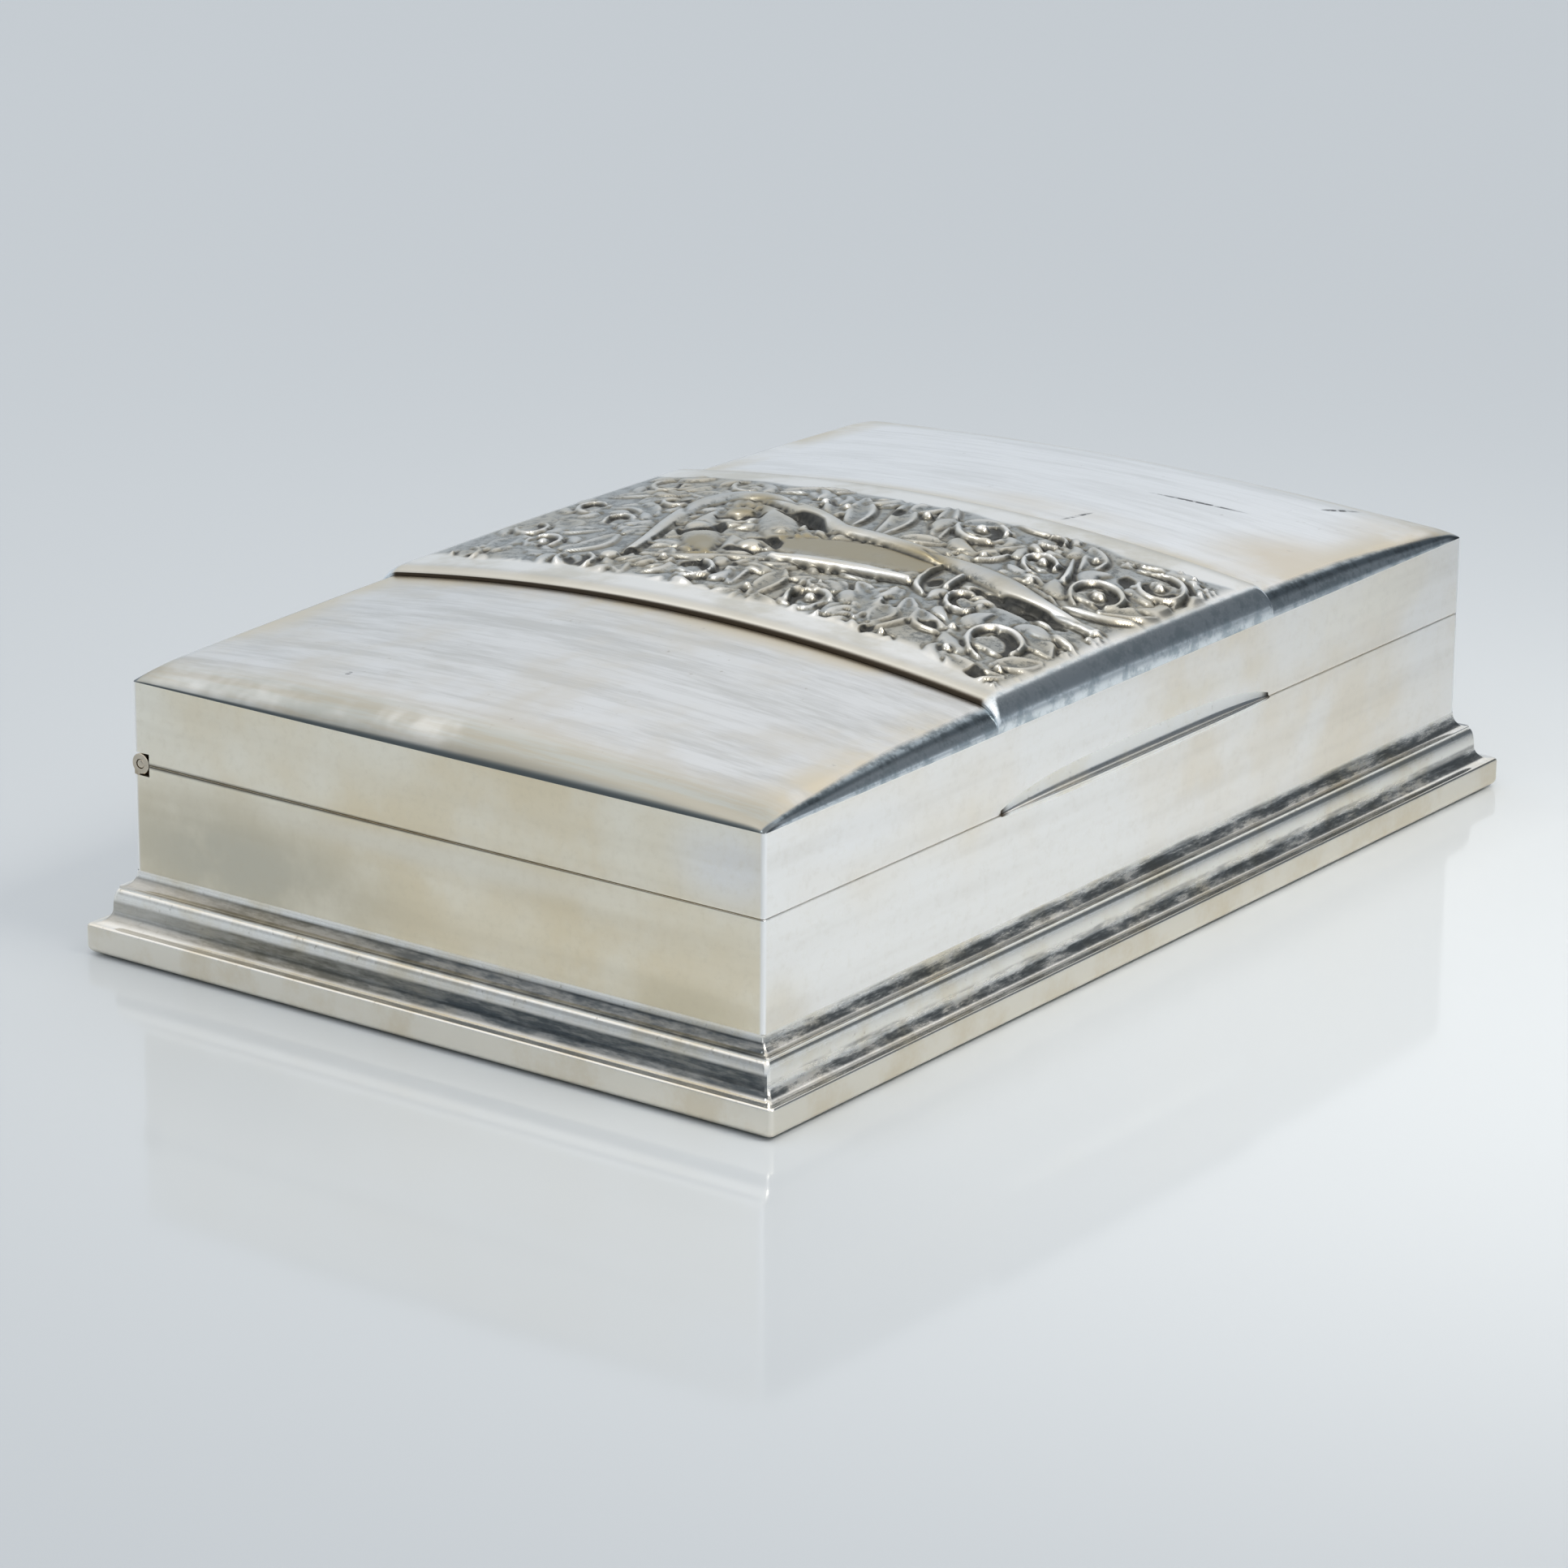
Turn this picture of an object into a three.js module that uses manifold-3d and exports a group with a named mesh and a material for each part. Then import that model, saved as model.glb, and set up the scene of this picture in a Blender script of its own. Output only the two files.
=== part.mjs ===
// Silver table cigarette box: cedar-lined body on a stepped moulding, and a domed lid with a raised
// ornamental band, on a hinge that runs the whole length of the back.
// Millimetres, +Z up. The origin is the centre of the underside. The front, with its thumbpiece, faces -Y.

import * as THREE from 'three';
import { mergeVertices } from 'three/addons/utils/BufferGeometryUtils.js';
import Module from 'manifold-3d';

const wasm = await Module();
wasm.setup();

// Overall sizes
const BODY_LENGTH = 160; // left to right over the walls
const BODY_DEPTH = 98.7; // front to back over the walls
const SEAM_HEIGHT = 25.3; // joint between body and lid, above the table
const RIM_TOP = 36; // top of the lid's straight sides, above the table
const DOME_RISE = 7.25; // crown of the lid above its straight sides

// Sheet metal
const WALL = 0.9; // walls of the body and straight sides of the lid
const LID_SHEET = 0.9; // domed top
const MOULDING_SHEET = 0.8; // drawn base moulding
const SEAM_GAP = 0.06; // air between the closed lid and the body
const MITRE_GAP = 0.03; // solder line at each mitred end

// Base moulding, as reaches outward from the wall and heights above the table
const MOULDING_TOP = 11;
const CAVETTO_REACH = 1.65; // upper hollow, below which a fillet stands out
const CAVETTO_FOOT = 8.95;
const FILLET_REACH = 1.8;
const BULGE_TOP = 8.6;
const BULGE_REACH = 2.4; // swelling below the fillet
const BULGE_FOOT = 6;
const LEDGE_REACH = 4.3; // lower hollow, which runs out onto the plinth
const PLINTH_TOP = 4.15;
const PLINTH_REACH = 4.75; // upright plinth at the bottom
const PLINTH_TOP_ROUND = 0.35;
const PLINTH_FOOT_ROUND = 0.95; // height of the turned-in lower edge
const FOOT_REACH = 4; // lower edge of the plinth, after it turns in
const FOOT_HEIGHT = 0.35; // air under the plinth
const ARC_STEPS = 6; // facets on each curve of the moulding

// Underside
const FELT_THICKNESS = 0.5;
const BOARD_GAP = 0.15; // board to moulding, at its edge
const BOARD_TOP_GAP = 0.05; // board to moulding, above it
const FELT_MARGIN = 0.6; // bare edge of the board round the felt

// Cedar lining
const LINING = 2.2; // panels
const LINING_FLOOR = 2;
const DIVIDER = 2;
const DIVIDER_DROP = 1; // top of the divider below the seam
const LIP_HEIGHT = 2.5; // rise of the panels above the seam
const LIP_GAP = 0.35; // lip to the lid's sides
const LIP_START = 0.5; // depth below the seam at which the lip steps in
const LINING_HINGE_GAP = 0.3; // lining to the hinge

// Hinge
const HINGE_INSET = 1; // pin's axis inside the back face
const KNUCKLE_RADIUS = 1.35;
const PIN_RADIUS = 0.6;
const PIN_GAP = 0.05; // radial play of the pin in the knuckles
const KNUCKLE_COUNT = 7; // odd, so that both end knuckles belong to the body
const KNUCKLE_GAP = 0.1; // play between neighbouring knuckles
const HINGE_GAP = 0.15; // knuckles to the edges that turn past them
const ROUND_STEPS = 18; // facets round the hinge

// Domed top
const END_ROLL = { width: 8, share: 0.5 }; // rolled left and right ends: width, and share of the rise
const SIDE_ROLL = { width: 3.2, share: 0.42 }; // rolled front and back
const ROLL_STEPS = 7;
const PANEL_LINES = 4; // grid lines on each plain panel, between the roll and the band
const FIELD_LINES = 2; // on each half of the ornament's field
const CROWN_LINES = 6; // between the front or back roll and the middle

// Raised band across the dome
const BAND_WIDTH = 63.5;
const BAND_THICKNESS = 1.1; // stand of the border above the dome
const BAND_SHEET = 0.7; // pressed sheet, hollow behind the relief
const BAND_EDGE = 0.25; // upright edge at the foot of the rounded shoulder
const BAND_END = 0.6; // thickness at the front and back ends, over the rim
const BAND_END_ROUND = 3;
const SHOULDER = 2.2; // width of the rounded shoulder
const SHOULDER_LINES = [0, 0.1, 0.4, 1]; // grid lines on it, as shares of its width
const BAND_BORDER = 5.5; // plain border along each shoulder
const FIELD_END = 1.5; // plain border at the front and back ends
const FIELD_SLOPE = 1.5;
const FIELD_RELIEF = 0.8; // mean height of the ornament above the border
const LINE_TOLERANCE = 1e-6; // for finding the band's own grid lines
const BAND_SOLDER = 0.05; // solder under the band's edges

// Thumbpiece
const THUMB_LENGTH = 62;
const THUMB_RISE = 3; // above the seam
const FACE_REACH = 0.5; // foot of the steep upper face
const FACE_FOOT = 0.8; // and its height above the seam
const LIP_REACH = 1.1; // edge of the lip below that face
const LIP_EDGE = 0.45; // top of that edge, above the seam
const LIP_UNDER = 0.2; // and its underside
const GROOVE_REACH = 0.55; // bottom of the groove below the lip
const BEAD_REACH = 0.9; // bead below the groove
const BEAD_DROP = 0.6; // bottom of the bead, below the seam
const BEAD_STEPS = 4;
const THUMB_CLEAR = 0.12; // its back, below the seam, to the body's front
const THUMB_TIP = 0.2; // size of the tips, as a share of the middle
const THUMB_STEPS = 20;

// Plate inside the lid
const LINER_THICKNESS = 0.6;
const LINER_DROP = 1; // below the top of the straight sides

// Finishes
const SILVER = { color: 0xd9d5c9, roughness: 0.28, metalness: 1 };
const RELIEF = { color: 0xb9b8b2, roughness: 0.34, metalness: 1 };
const GILT = { color: 0xd8b65c, roughness: 0.3, metalness: 1 };
const CEDAR = { color: 0xa86f43, roughness: 0.7, metalness: 0 };
const BOARD = { color: 0x6b4128, roughness: 0.75, metalness: 0 };
const FELT = { color: 0x1f3a2c, roughness: 1, metalness: 0 };

// Sizes that follow from those above
const halfX = BODY_LENGTH / 2;
const halfY = BODY_DEPTH / 2;
const boardTop = PLINTH_TOP - MOULDING_SHEET - BOARD_TOP_GAP;
const boardReach = FOOT_REACH - MOULDING_SHEET - BOARD_GAP;
const floorTop = boardTop + LINING_FLOOR;
const innerX = halfX - WALL;
const innerY = halfY - WALL;
const hingeY = halfY - HINGE_INSET;
const hingeNotch = KNUCKLE_RADIUS + HINGE_GAP;
const lidBottom = SEAM_HEIGHT + SEAM_GAP;

const SIDES = [
  { name: 'front', turn: 0, half: halfX, face: halfY },
  { name: 'right', turn: Math.PI / 2, half: halfY, face: halfX },
  { name: 'back', turn: Math.PI, half: halfX, face: halfY },
  { name: 'left', turn: -Math.PI / 2, half: halfY, face: halfX },
];

const box = new THREE.Group();
box.name = 'cigarette_box';

function addPiece(name, geometry, finish) {
  const piece = new THREE.Mesh(geometry, new THREE.MeshStandardMaterial(finish));
  piece.name = name;
  box.add(piece);
}

function geometryFrom(points, triangles) {
  const geometry = new THREE.BufferGeometry();
  const numbers = points.flatMap((p) => [p.x, p.y, p.z]);
  geometry.setAttribute('position', new THREE.Float32BufferAttribute(numbers, 3));
  geometry.setIndex(triangles.flat());
  geometry.computeVertexNormals();
  return geometry;
}

function toSolid(geometry) {
  const bare = geometry.clone();
  bare.deleteAttribute('normal');
  bare.deleteAttribute('uv');
  const merged = mergeVertices(bare);
  return new wasm.Manifold(new wasm.Mesh({
    numProp: 3,
    vertProperties: new Float32Array(merged.attributes.position.array),
    triVerts: new Uint32Array(merged.index.array),
  }));
}

function cutAway(geometry, cutter) {
  const mesh = toSolid(geometry).subtract(toSolid(cutter)).getMesh();
  const result = new THREE.BufferGeometry();
  result.setAttribute('position', new THREE.Float32BufferAttribute(mesh.vertProperties, 3));
  result.setIndex(Array.from(mesh.triVerts));
  result.computeVertexNormals();
  return result;
}

function block(x0, x1, y0, y1, z0, z1) {
  const geometry = new THREE.BoxGeometry(x1 - x0, y1 - y0, z1 - z0);
  return geometry.translate((x0 + x1) / 2, (y0 + y1) / 2, (z0 + z1) / 2);
}

// Elliptical quarter, as points from start to end; flatFirst leaves the start level, otherwise upright
function quarter(start, end, flatFirst) {
  const points = [];
  for (let i = 1; i <= ARC_STEPS; i++) {
    const angle = (i / ARC_STEPS) * Math.PI / 2;
    const [early, late] = [Math.sin(angle), 1 - Math.cos(angle)];
    points.push(new THREE.Vector2(
      start.x + (end.x - start.x) * (flatFirst ? early : late),
      start.y + (end.y - start.y) * (flatFirst ? late : early),
    ));
  }
  return points;
}

// Strip along one side of the box with 45 degree mitres at both ends. The outline runs anticlockwise,
// x being the reach outward from the wall's outer face and y the height.
function mitredStrip(side, outline) {
  const points = [];
  for (const p of outline) {
    const end = side.half + p.x - MITRE_GAP;
    points.push(new THREE.Vector3(-end, -(side.face + p.x), p.y));
    points.push(new THREE.Vector3(end, -(side.face + p.x), p.y));
  }
  const triangles = [];
  for (const [a, b, c] of THREE.ShapeUtils.triangulateShape(outline, [])) {
    triangles.push([2 * a, 2 * b, 2 * c]);
    triangles.push([2 * a + 1, 2 * c + 1, 2 * b + 1]);
  }
  outline.forEach((p, i) => {
    const j = (i + 1) % outline.length;
    triangles.push([2 * i, 2 * i + 1, 2 * j + 1]);
    triangles.push([2 * i, 2 * j + 1, 2 * j]);
  });
  return geometryFrom(points, triangles).rotateZ(side.turn);
}

function upright(inner, outer, bottom, top) {
  return [
    new THREE.Vector2(inner, bottom),
    new THREE.Vector2(outer, bottom),
    new THREE.Vector2(outer, top),
    new THREE.Vector2(inner, top),
  ];
}

// Solid between two grids of points, the upper one seen from above in rows of x and columns of y
function gridSolid(columns, rows, upper, lower) {
  const points = [];
  const triangles = [];
  const count = columns.length * rows.length;
  const at = (i, j) => i * rows.length + j;
  columns.forEach((x) => rows.forEach((y) => points.push(upper(x, y))));
  columns.forEach((x) => rows.forEach((y) => points.push(lower(x, y))));
  const lastI = columns.length - 1;
  const lastJ = rows.length - 1;
  for (let i = 0; i < lastI; i++) {
    for (let j = 0; j < lastJ; j++) {
      const [a, b, c, d] = [at(i, j), at(i + 1, j), at(i + 1, j + 1), at(i, j + 1)];
      triangles.push([a, b, c], [a, c, d]);
      triangles.push([count + a, count + c, count + b], [count + a, count + d, count + c]);
    }
  }
  const edge = [];
  for (let i = 0; i < lastI; i++) {
    edge.push(at(i, 0));
  }
  for (let j = 0; j < lastJ; j++) {
    edge.push(at(lastI, j));
  }
  for (let i = lastI; i > 0; i--) {
    edge.push(at(i, lastJ));
  }
  for (let j = lastJ; j > 0; j--) {
    edge.push(at(0, j));
  }
  edge.forEach((a, k) => {
    const b = edge[(k + 1) % edge.length];
    triangles.push([count + a, count + b, b], [count + a, b, a]);
  });
  return geometryFrom(points, triangles);
}

// Extrusion of a shape drawn in Y and Z, along X
function extrudeAlongX(shape, start, length) {
  const geometry = new THREE.ExtrudeGeometry(shape, {
    depth: length,
    bevelEnabled: false,
    curveSegments: ROUND_STEPS,
  });
  const turn = new THREE.Matrix4().makeBasis(
    new THREE.Vector3(0, 1, 0),
    new THREE.Vector3(0, 0, 1),
    new THREE.Vector3(1, 0, 0),
  );
  return geometry.applyMatrix4(turn).translate(start, 0, 0);
}

// Base moulding: the outer profile from top to bottom, and behind it the same profile moved in by the sheet
function mouldingOutline() {
  const plinthTop = new THREE.Vector2(PLINTH_REACH - PLINTH_TOP_ROUND, PLINTH_TOP);
  const plinthFoot = new THREE.Vector2(PLINTH_REACH, FOOT_HEIGHT + PLINTH_FOOT_ROUND);
  const wallTop = new THREE.Vector2(0, MOULDING_TOP);
  const bulgeTop = new THREE.Vector2(FILLET_REACH, BULGE_TOP);
  const bulgeFoot = new THREE.Vector2(BULGE_REACH, BULGE_FOOT);
  const outer = [
    wallTop,
    ...quarter(wallTop, new THREE.Vector2(CAVETTO_REACH, CAVETTO_FOOT), false),
    new THREE.Vector2(FILLET_REACH, CAVETTO_FOOT),
    bulgeTop,
    ...quarter(bulgeTop, bulgeFoot, true),
    ...quarter(bulgeFoot, new THREE.Vector2(LEDGE_REACH, PLINTH_TOP), false),
    plinthTop,
    ...quarter(plinthTop, new THREE.Vector2(PLINTH_REACH, PLINTH_TOP - PLINTH_TOP_ROUND), true),
    plinthFoot,
    ...quarter(plinthFoot, new THREE.Vector2(FOOT_REACH, FOOT_HEIGHT), false),
  ];
  const back = FOOT_REACH - MOULDING_SHEET;
  const inner = outer
    .map((p) => new THREE.Vector2(Math.min(p.x - MOULDING_SHEET, back), p.y - MOULDING_SHEET))
    .filter((p) => p.x > 0 && p.y > FOOT_HEIGHT + MOULDING_SHEET);
  const behind = [
    new THREE.Vector2(0, inner[0].y),
    ...inner.filter((p, i) => i === 0 || p.x < back || inner[i - 1].x < back),
    new THREE.Vector2(back, FOOT_HEIGHT),
  ];
  return [...behind, ...outer.reverse()];
}

// Room for the hinge along the back, between two heights
function hingeRecess(bottom, top) {
  return block(-BODY_LENGTH, BODY_LENGTH, hingeY - hingeNotch, BODY_DEPTH, bottom, top);
}

function addMouldings() {
  for (const side of SIDES) {
    addPiece(`moulding_${side.name}`, mitredStrip(side, mouldingOutline()), SILVER);
  }
}

function addWalls() {
  const recess = hingeRecess(SEAM_HEIGHT - hingeNotch, RIM_TOP);
  for (const side of SIDES) {
    const wall = mitredStrip(side, upright(-WALL, 0, boardTop, SEAM_HEIGHT));
    addPiece(`wall_${side.name}`, side.name === 'front' ? wall : cutAway(wall, recess), SILVER);
  }
}

function addUnderside() {
  const x = halfX + boardReach;
  const y = halfY + boardReach;
  addPiece('base_board', block(-x, x, -y, y, FELT_THICKNESS, boardTop), BOARD);
  const feltX = x - FELT_MARGIN;
  const feltY = y - FELT_MARGIN;
  addPiece('base_felt', block(-feltX, feltX, -feltY, feltY, 0, FELT_THICKNESS), FELT);
}

function addLining() {
  addPiece('lining_floor', block(-innerX, innerX, -innerY, innerY, boardTop, floorTop), CEDAR);
  const lipTop = SEAM_HEIGHT + LIP_HEIGHT;
  const lipFoot = SEAM_HEIGHT - LIP_START;
  const panel = [
    new THREE.Vector2(-WALL - LINING, floorTop),
    new THREE.Vector2(-WALL, floorTop),
    new THREE.Vector2(-WALL, lipFoot),
    new THREE.Vector2(-WALL - LIP_GAP, lipFoot),
    new THREE.Vector2(-WALL - LIP_GAP, lipTop),
    new THREE.Vector2(-WALL - LINING, lipTop),
  ];
  const recess = hingeRecess(SEAM_HEIGHT - hingeNotch - LINING_HINGE_GAP, RIM_TOP);
  const backPanel = upright(-WALL - LINING, -WALL, floorTop, SEAM_HEIGHT - hingeNotch - LINING_HINGE_GAP);
  for (const side of SIDES) {
    const strip = mitredStrip(side, side.name === 'back' ? backPanel : panel);
    const clear = side.name === 'left' || side.name === 'right';
    addPiece(`lining_${side.name}`, clear ? cutAway(strip, recess) : strip, CEDAR);
  }
  const y = innerY - LINING;
  const dividerTop = SEAM_HEIGHT - DIVIDER_DROP;
  addPiece('lining_divider', block(-DIVIDER / 2, DIVIDER / 2, -y, y, floorTop, dividerTop), CEDAR);
}

// Hinge: tubes in turn on the body and on the lid, each with a foot on the edge of its back wall
function knuckleShape(footUp) {
  const outerAngle = Math.acos(HINGE_INSET / KNUCKLE_RADIUS);
  const innerAngle = Math.acos((HINGE_INSET - WALL) / KNUCKLE_RADIUS);
  const sign = footUp ? 1 : -1;
  const shape = new THREE.Shape();
  shape.absarc(0, 0, KNUCKLE_RADIUS, sign * outerAngle, sign * innerAngle, footUp);
  shape.lineTo(HINGE_INSET - WALL, sign * hingeNotch);
  shape.lineTo(HINGE_INSET, sign * hingeNotch);
  shape.closePath();
  const bore = new THREE.Path();
  bore.absarc(0, 0, PIN_RADIUS + PIN_GAP, 0, 2 * Math.PI, false);
  shape.holes.push(bore);
  return shape;
}

function addHinge() {
  const pitch = BODY_LENGTH / KNUCKLE_COUNT;
  for (let i = 0; i < KNUCKLE_COUNT; i++) {
    const onLid = i % 2 === 1;
    const start = -halfX + i * pitch + (i === 0 ? 0 : KNUCKLE_GAP / 2);
    const end = -halfX + (i + 1) * pitch - (i === KNUCKLE_COUNT - 1 ? 0 : KNUCKLE_GAP / 2);
    const tube = extrudeAlongX(knuckleShape(onLid), start, end - start);
    const number = Math.floor(i / 2) + 1;
    addPiece(`${onLid ? 'lid' : 'body'}_knuckle_${number}`, tube.translate(0, hingeY, SEAM_HEIGHT), SILVER);
  }
  const pin = new THREE.CylinderGeometry(PIN_RADIUS, PIN_RADIUS, BODY_LENGTH, ROUND_STEPS);
  addPiece('hinge_pin', pin.rotateZ(Math.PI / 2).translate(0, hingeY, SEAM_HEIGHT), SILVER);
}

function addLidSides() {
  const recess = hingeRecess(0, SEAM_HEIGHT + hingeNotch);
  for (const side of SIDES) {
    const rim = mitredStrip(side, upright(-WALL, 0, lidBottom, RIM_TOP));
    addPiece(`lid_rim_${side.name}`, side.name === 'front' ? rim : cutAway(rim, recess), SILVER);
  }
  const top = RIM_TOP - LINER_DROP;
  const liner = block(-innerX, innerX, -innerY, innerY, top - LINER_THICKNESS, top);
  addPiece('lid_liner', liner, GILT);
}

// Height of an elliptical roll of the given width, from 0 at its edge to 1
function roll(inset, width) {
  const rest = Math.max(0, 1 - inset / width);
  return Math.sqrt(1 - rest * rest);
}

// Shape of the dome across one direction: a rolled edge and a shallow crown
function domeShare(place, half, edge) {
  const off = Math.abs(place) / half;
  return edge.share * roll(half - Math.abs(place), edge.width) + (1 - edge.share) * (1 - off * off);
}

function domeHeight(x, y) {
  return DOME_RISE * domeShare(x, halfX, END_ROLL) * domeShare(y, halfY, SIDE_ROLL);
}

// Grid lines for the dome in one direction: close together on the roll, then at the given insets
function domeLines(half, width, insets) {
  const side = [];
  for (let k = 0; k <= ROLL_STEPS; k++) {
    side.push(half - width * (1 - Math.cos((k / ROLL_STEPS) * Math.PI / 2)));
  }
  for (const inset of insets) {
    side.push(half - inset);
  }
  const positive = side.filter((s) => s > 0).sort((a, b) => a - b);
  return [...positive.map((s) => -s).reverse(), 0, ...positive];
}

// Grid lines in the middle of the dome, even steps between two places
function evenInsets(from, to, steps) {
  return Array.from({ length: steps }, (_, i) => from + ((to - from) * (i + 1)) / (steps + 1));
}

function bandLift(x, y) {
  const inset = BAND_WIDTH / 2 - Math.abs(x);
  const endInset = halfY - Math.abs(y);
  const shoulder = BAND_EDGE + (BAND_THICKNESS - BAND_EDGE) * roll(inset, SHOULDER);
  const end = BAND_END + (BAND_THICKNESS - BAND_END) * roll(endInset, BAND_END_ROUND);
  const intoField = Math.min(inset - BAND_BORDER, endInset - FIELD_END) / FIELD_SLOPE;
  return Math.min(shoulder, end) + FIELD_RELIEF * THREE.MathUtils.clamp(intoField, 0, 1);
}

function addDome() {
  const bandInset = halfX - BAND_WIDTH / 2;
  const fieldInset = bandInset + BAND_BORDER + FIELD_SLOPE;
  const columns = domeLines(halfX, END_ROLL.width, [
    ...evenInsets(END_ROLL.width, bandInset, PANEL_LINES),
    ...SHOULDER_LINES.map((share) => bandInset + share * SHOULDER),
    bandInset + BAND_BORDER,
    fieldInset,
    ...evenInsets(fieldInset, halfX, FIELD_LINES),
  ]);
  const rows = domeLines(halfY, SIDE_ROLL.width, evenInsets(SIDE_ROLL.width, halfY, CROWN_LINES));
  const scale = (half, sheet) => (half - sheet) / half;
  const upper = (x, y) => new THREE.Vector3(x, y, RIM_TOP + domeHeight(x, y));
  const lower = (x, y) => new THREE.Vector3(
    x * scale(halfX, WALL),
    y * scale(halfY, WALL),
    RIM_TOP + domeHeight(x, y) * scale(DOME_RISE, LID_SHEET),
  );
  addPiece('lid_top', gridSolid(columns, rows, upper, lower), SILVER);

  const bandColumns = columns.filter((x) => Math.abs(x) < BAND_WIDTH / 2 + LINE_TOLERANCE);
  const raised = (lift) => (x, y) => new THREE.Vector3(x, y, RIM_TOP + domeHeight(x, y) + lift(x, y));
  const hollow = (x, y) => Math.max(BAND_SOLDER, bandLift(x, y) - BAND_SHEET);
  addPiece('embossed_band', gridSolid(bandColumns, rows, raised(bandLift), raised(hollow)), RELIEF);
}

// Thumbpiece: a steep face running out to a lip, over a groove and a bead, tapering to both tips
function addThumbpiece() {
  const section = [
    [0, THUMB_RISE],
    [0, SEAM_GAP],
    [THUMB_CLEAR, SEAM_GAP],
    [THUMB_CLEAR, -BEAD_DROP],
  ];
  for (let i = 0; i <= BEAD_STEPS; i++) {
    const angle = (i / BEAD_STEPS - 0.5) * Math.PI;
    section.push([
      GROOVE_REACH + (BEAD_REACH - GROOVE_REACH) * Math.cos(angle),
      (BEAD_DROP / 2) * (Math.sin(angle) - 1),
    ]);
  }
  section.push([LIP_REACH, LIP_UNDER], [LIP_REACH, LIP_EDGE], [FACE_REACH, FACE_FOOT]);
  const points = [];
  const triangles = [];
  const count = section.length;
  for (let i = 0; i <= THUMB_STEPS; i++) {
    const along = -Math.cos((i / THUMB_STEPS) * Math.PI);
    const size = THUMB_TIP + (1 - THUMB_TIP) * (1 - along * along);
    for (const [out, up] of section) {
      const reach = out <= THUMB_CLEAR ? out : THUMB_CLEAR + (out - THUMB_CLEAR) * size;
      const rise = up > SEAM_GAP ? SEAM_GAP + (up - SEAM_GAP) * size : up * (up < 0 ? size : 1);
      points.push(new THREE.Vector3((along * THUMB_LENGTH) / 2, -halfY - reach, SEAM_HEIGHT + rise));
    }
  }
  for (let i = 0; i < THUMB_STEPS; i++) {
    for (let k = 0; k < count; k++) {
      const [a, b] = [i * count + k, i * count + ((k + 1) % count)];
      triangles.push([a, a + count, b + count], [a, b + count, b]);
    }
  }
  const outline = section.map(([out, up]) => new THREE.Vector2(out, up));
  const last = THUMB_STEPS * count;
  for (const [a, b, c] of THREE.ShapeUtils.triangulateShape(outline, [])) {
    triangles.push([a, b, c], [last + a, last + c, last + b]);
  }
  addPiece('thumbpiece', geometryFrom(points, triangles), SILVER);
}

addMouldings();
addWalls();
addUnderside();
addLining();
addHinge();
addLidSides();
addDome();
addThumbpiece();

export default box;
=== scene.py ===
"""Looks of a silver table cigarette box: worn silver, a band of chased scrollwork, cedar and felt."""

import math
from functools import reduce

import bpy
import numpy as np
from mathutils import Matrix, Vector


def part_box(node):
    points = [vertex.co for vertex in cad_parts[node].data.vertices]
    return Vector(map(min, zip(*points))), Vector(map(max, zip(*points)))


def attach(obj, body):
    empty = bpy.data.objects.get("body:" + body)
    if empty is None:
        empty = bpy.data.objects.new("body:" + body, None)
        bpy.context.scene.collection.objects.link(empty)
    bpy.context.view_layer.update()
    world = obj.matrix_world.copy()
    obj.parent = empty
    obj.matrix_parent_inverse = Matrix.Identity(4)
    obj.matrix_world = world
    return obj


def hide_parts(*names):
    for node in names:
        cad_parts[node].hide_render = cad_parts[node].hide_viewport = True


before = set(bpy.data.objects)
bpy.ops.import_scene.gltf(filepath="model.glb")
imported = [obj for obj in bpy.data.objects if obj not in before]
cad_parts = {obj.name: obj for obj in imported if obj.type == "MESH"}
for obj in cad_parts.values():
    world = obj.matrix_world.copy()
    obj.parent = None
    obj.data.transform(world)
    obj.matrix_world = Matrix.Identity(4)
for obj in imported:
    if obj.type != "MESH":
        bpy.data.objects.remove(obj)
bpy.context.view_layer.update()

MM = 0.001
rng = np.random.default_rng(11)


def cad_box(node):
    """Lowest and highest corner of a CAD node, in millimetres."""
    return [np.array(corner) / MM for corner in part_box(node)]


# Sizes of the CAD part, in millimetres, read from model.glb
HALF_X, HALF_Y, DOME_TOP = cad_box("lid_top")[1]
WALL_FOOT, SEAM = (corner[2] for corner in cad_box("wall_front"))
WALL = HALF_Y + cad_box("wall_front")[1][1]
LID_BOTTOM, RIM_TOP = (corner[2] for corner in cad_box("lid_rim_front"))
DOME_RISE = DOME_TOP - RIM_TOP
MOULDING_TOP = cad_box("moulding_front")[1][2]
FOOT_HEIGHT = cad_box("moulding_front")[0][2]
PLINTH_REACH = -HALF_Y - cad_box("moulding_front")[0][1]
FLOOR_TOP = cad_box("lining_floor")[1][2]
LINING = cad_box("lining_front")[1][1] - cad_box("lining_front")[0][1]
LIP_TOP = cad_box("lining_front")[1][2]
BACK_LINING_TOP = cad_box("lining_back")[1][2]
HINGE_Y = sum(corner[1] for corner in cad_box("hinge_pin")) / 2
BAND_HALF = cad_box("embossed_band")[1][0]
THUMB_HALF = cad_box("thumbpiece")[1][0]
THUMB_RISE = cad_box("thumbpiece")[1][2] - SEAM

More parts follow.
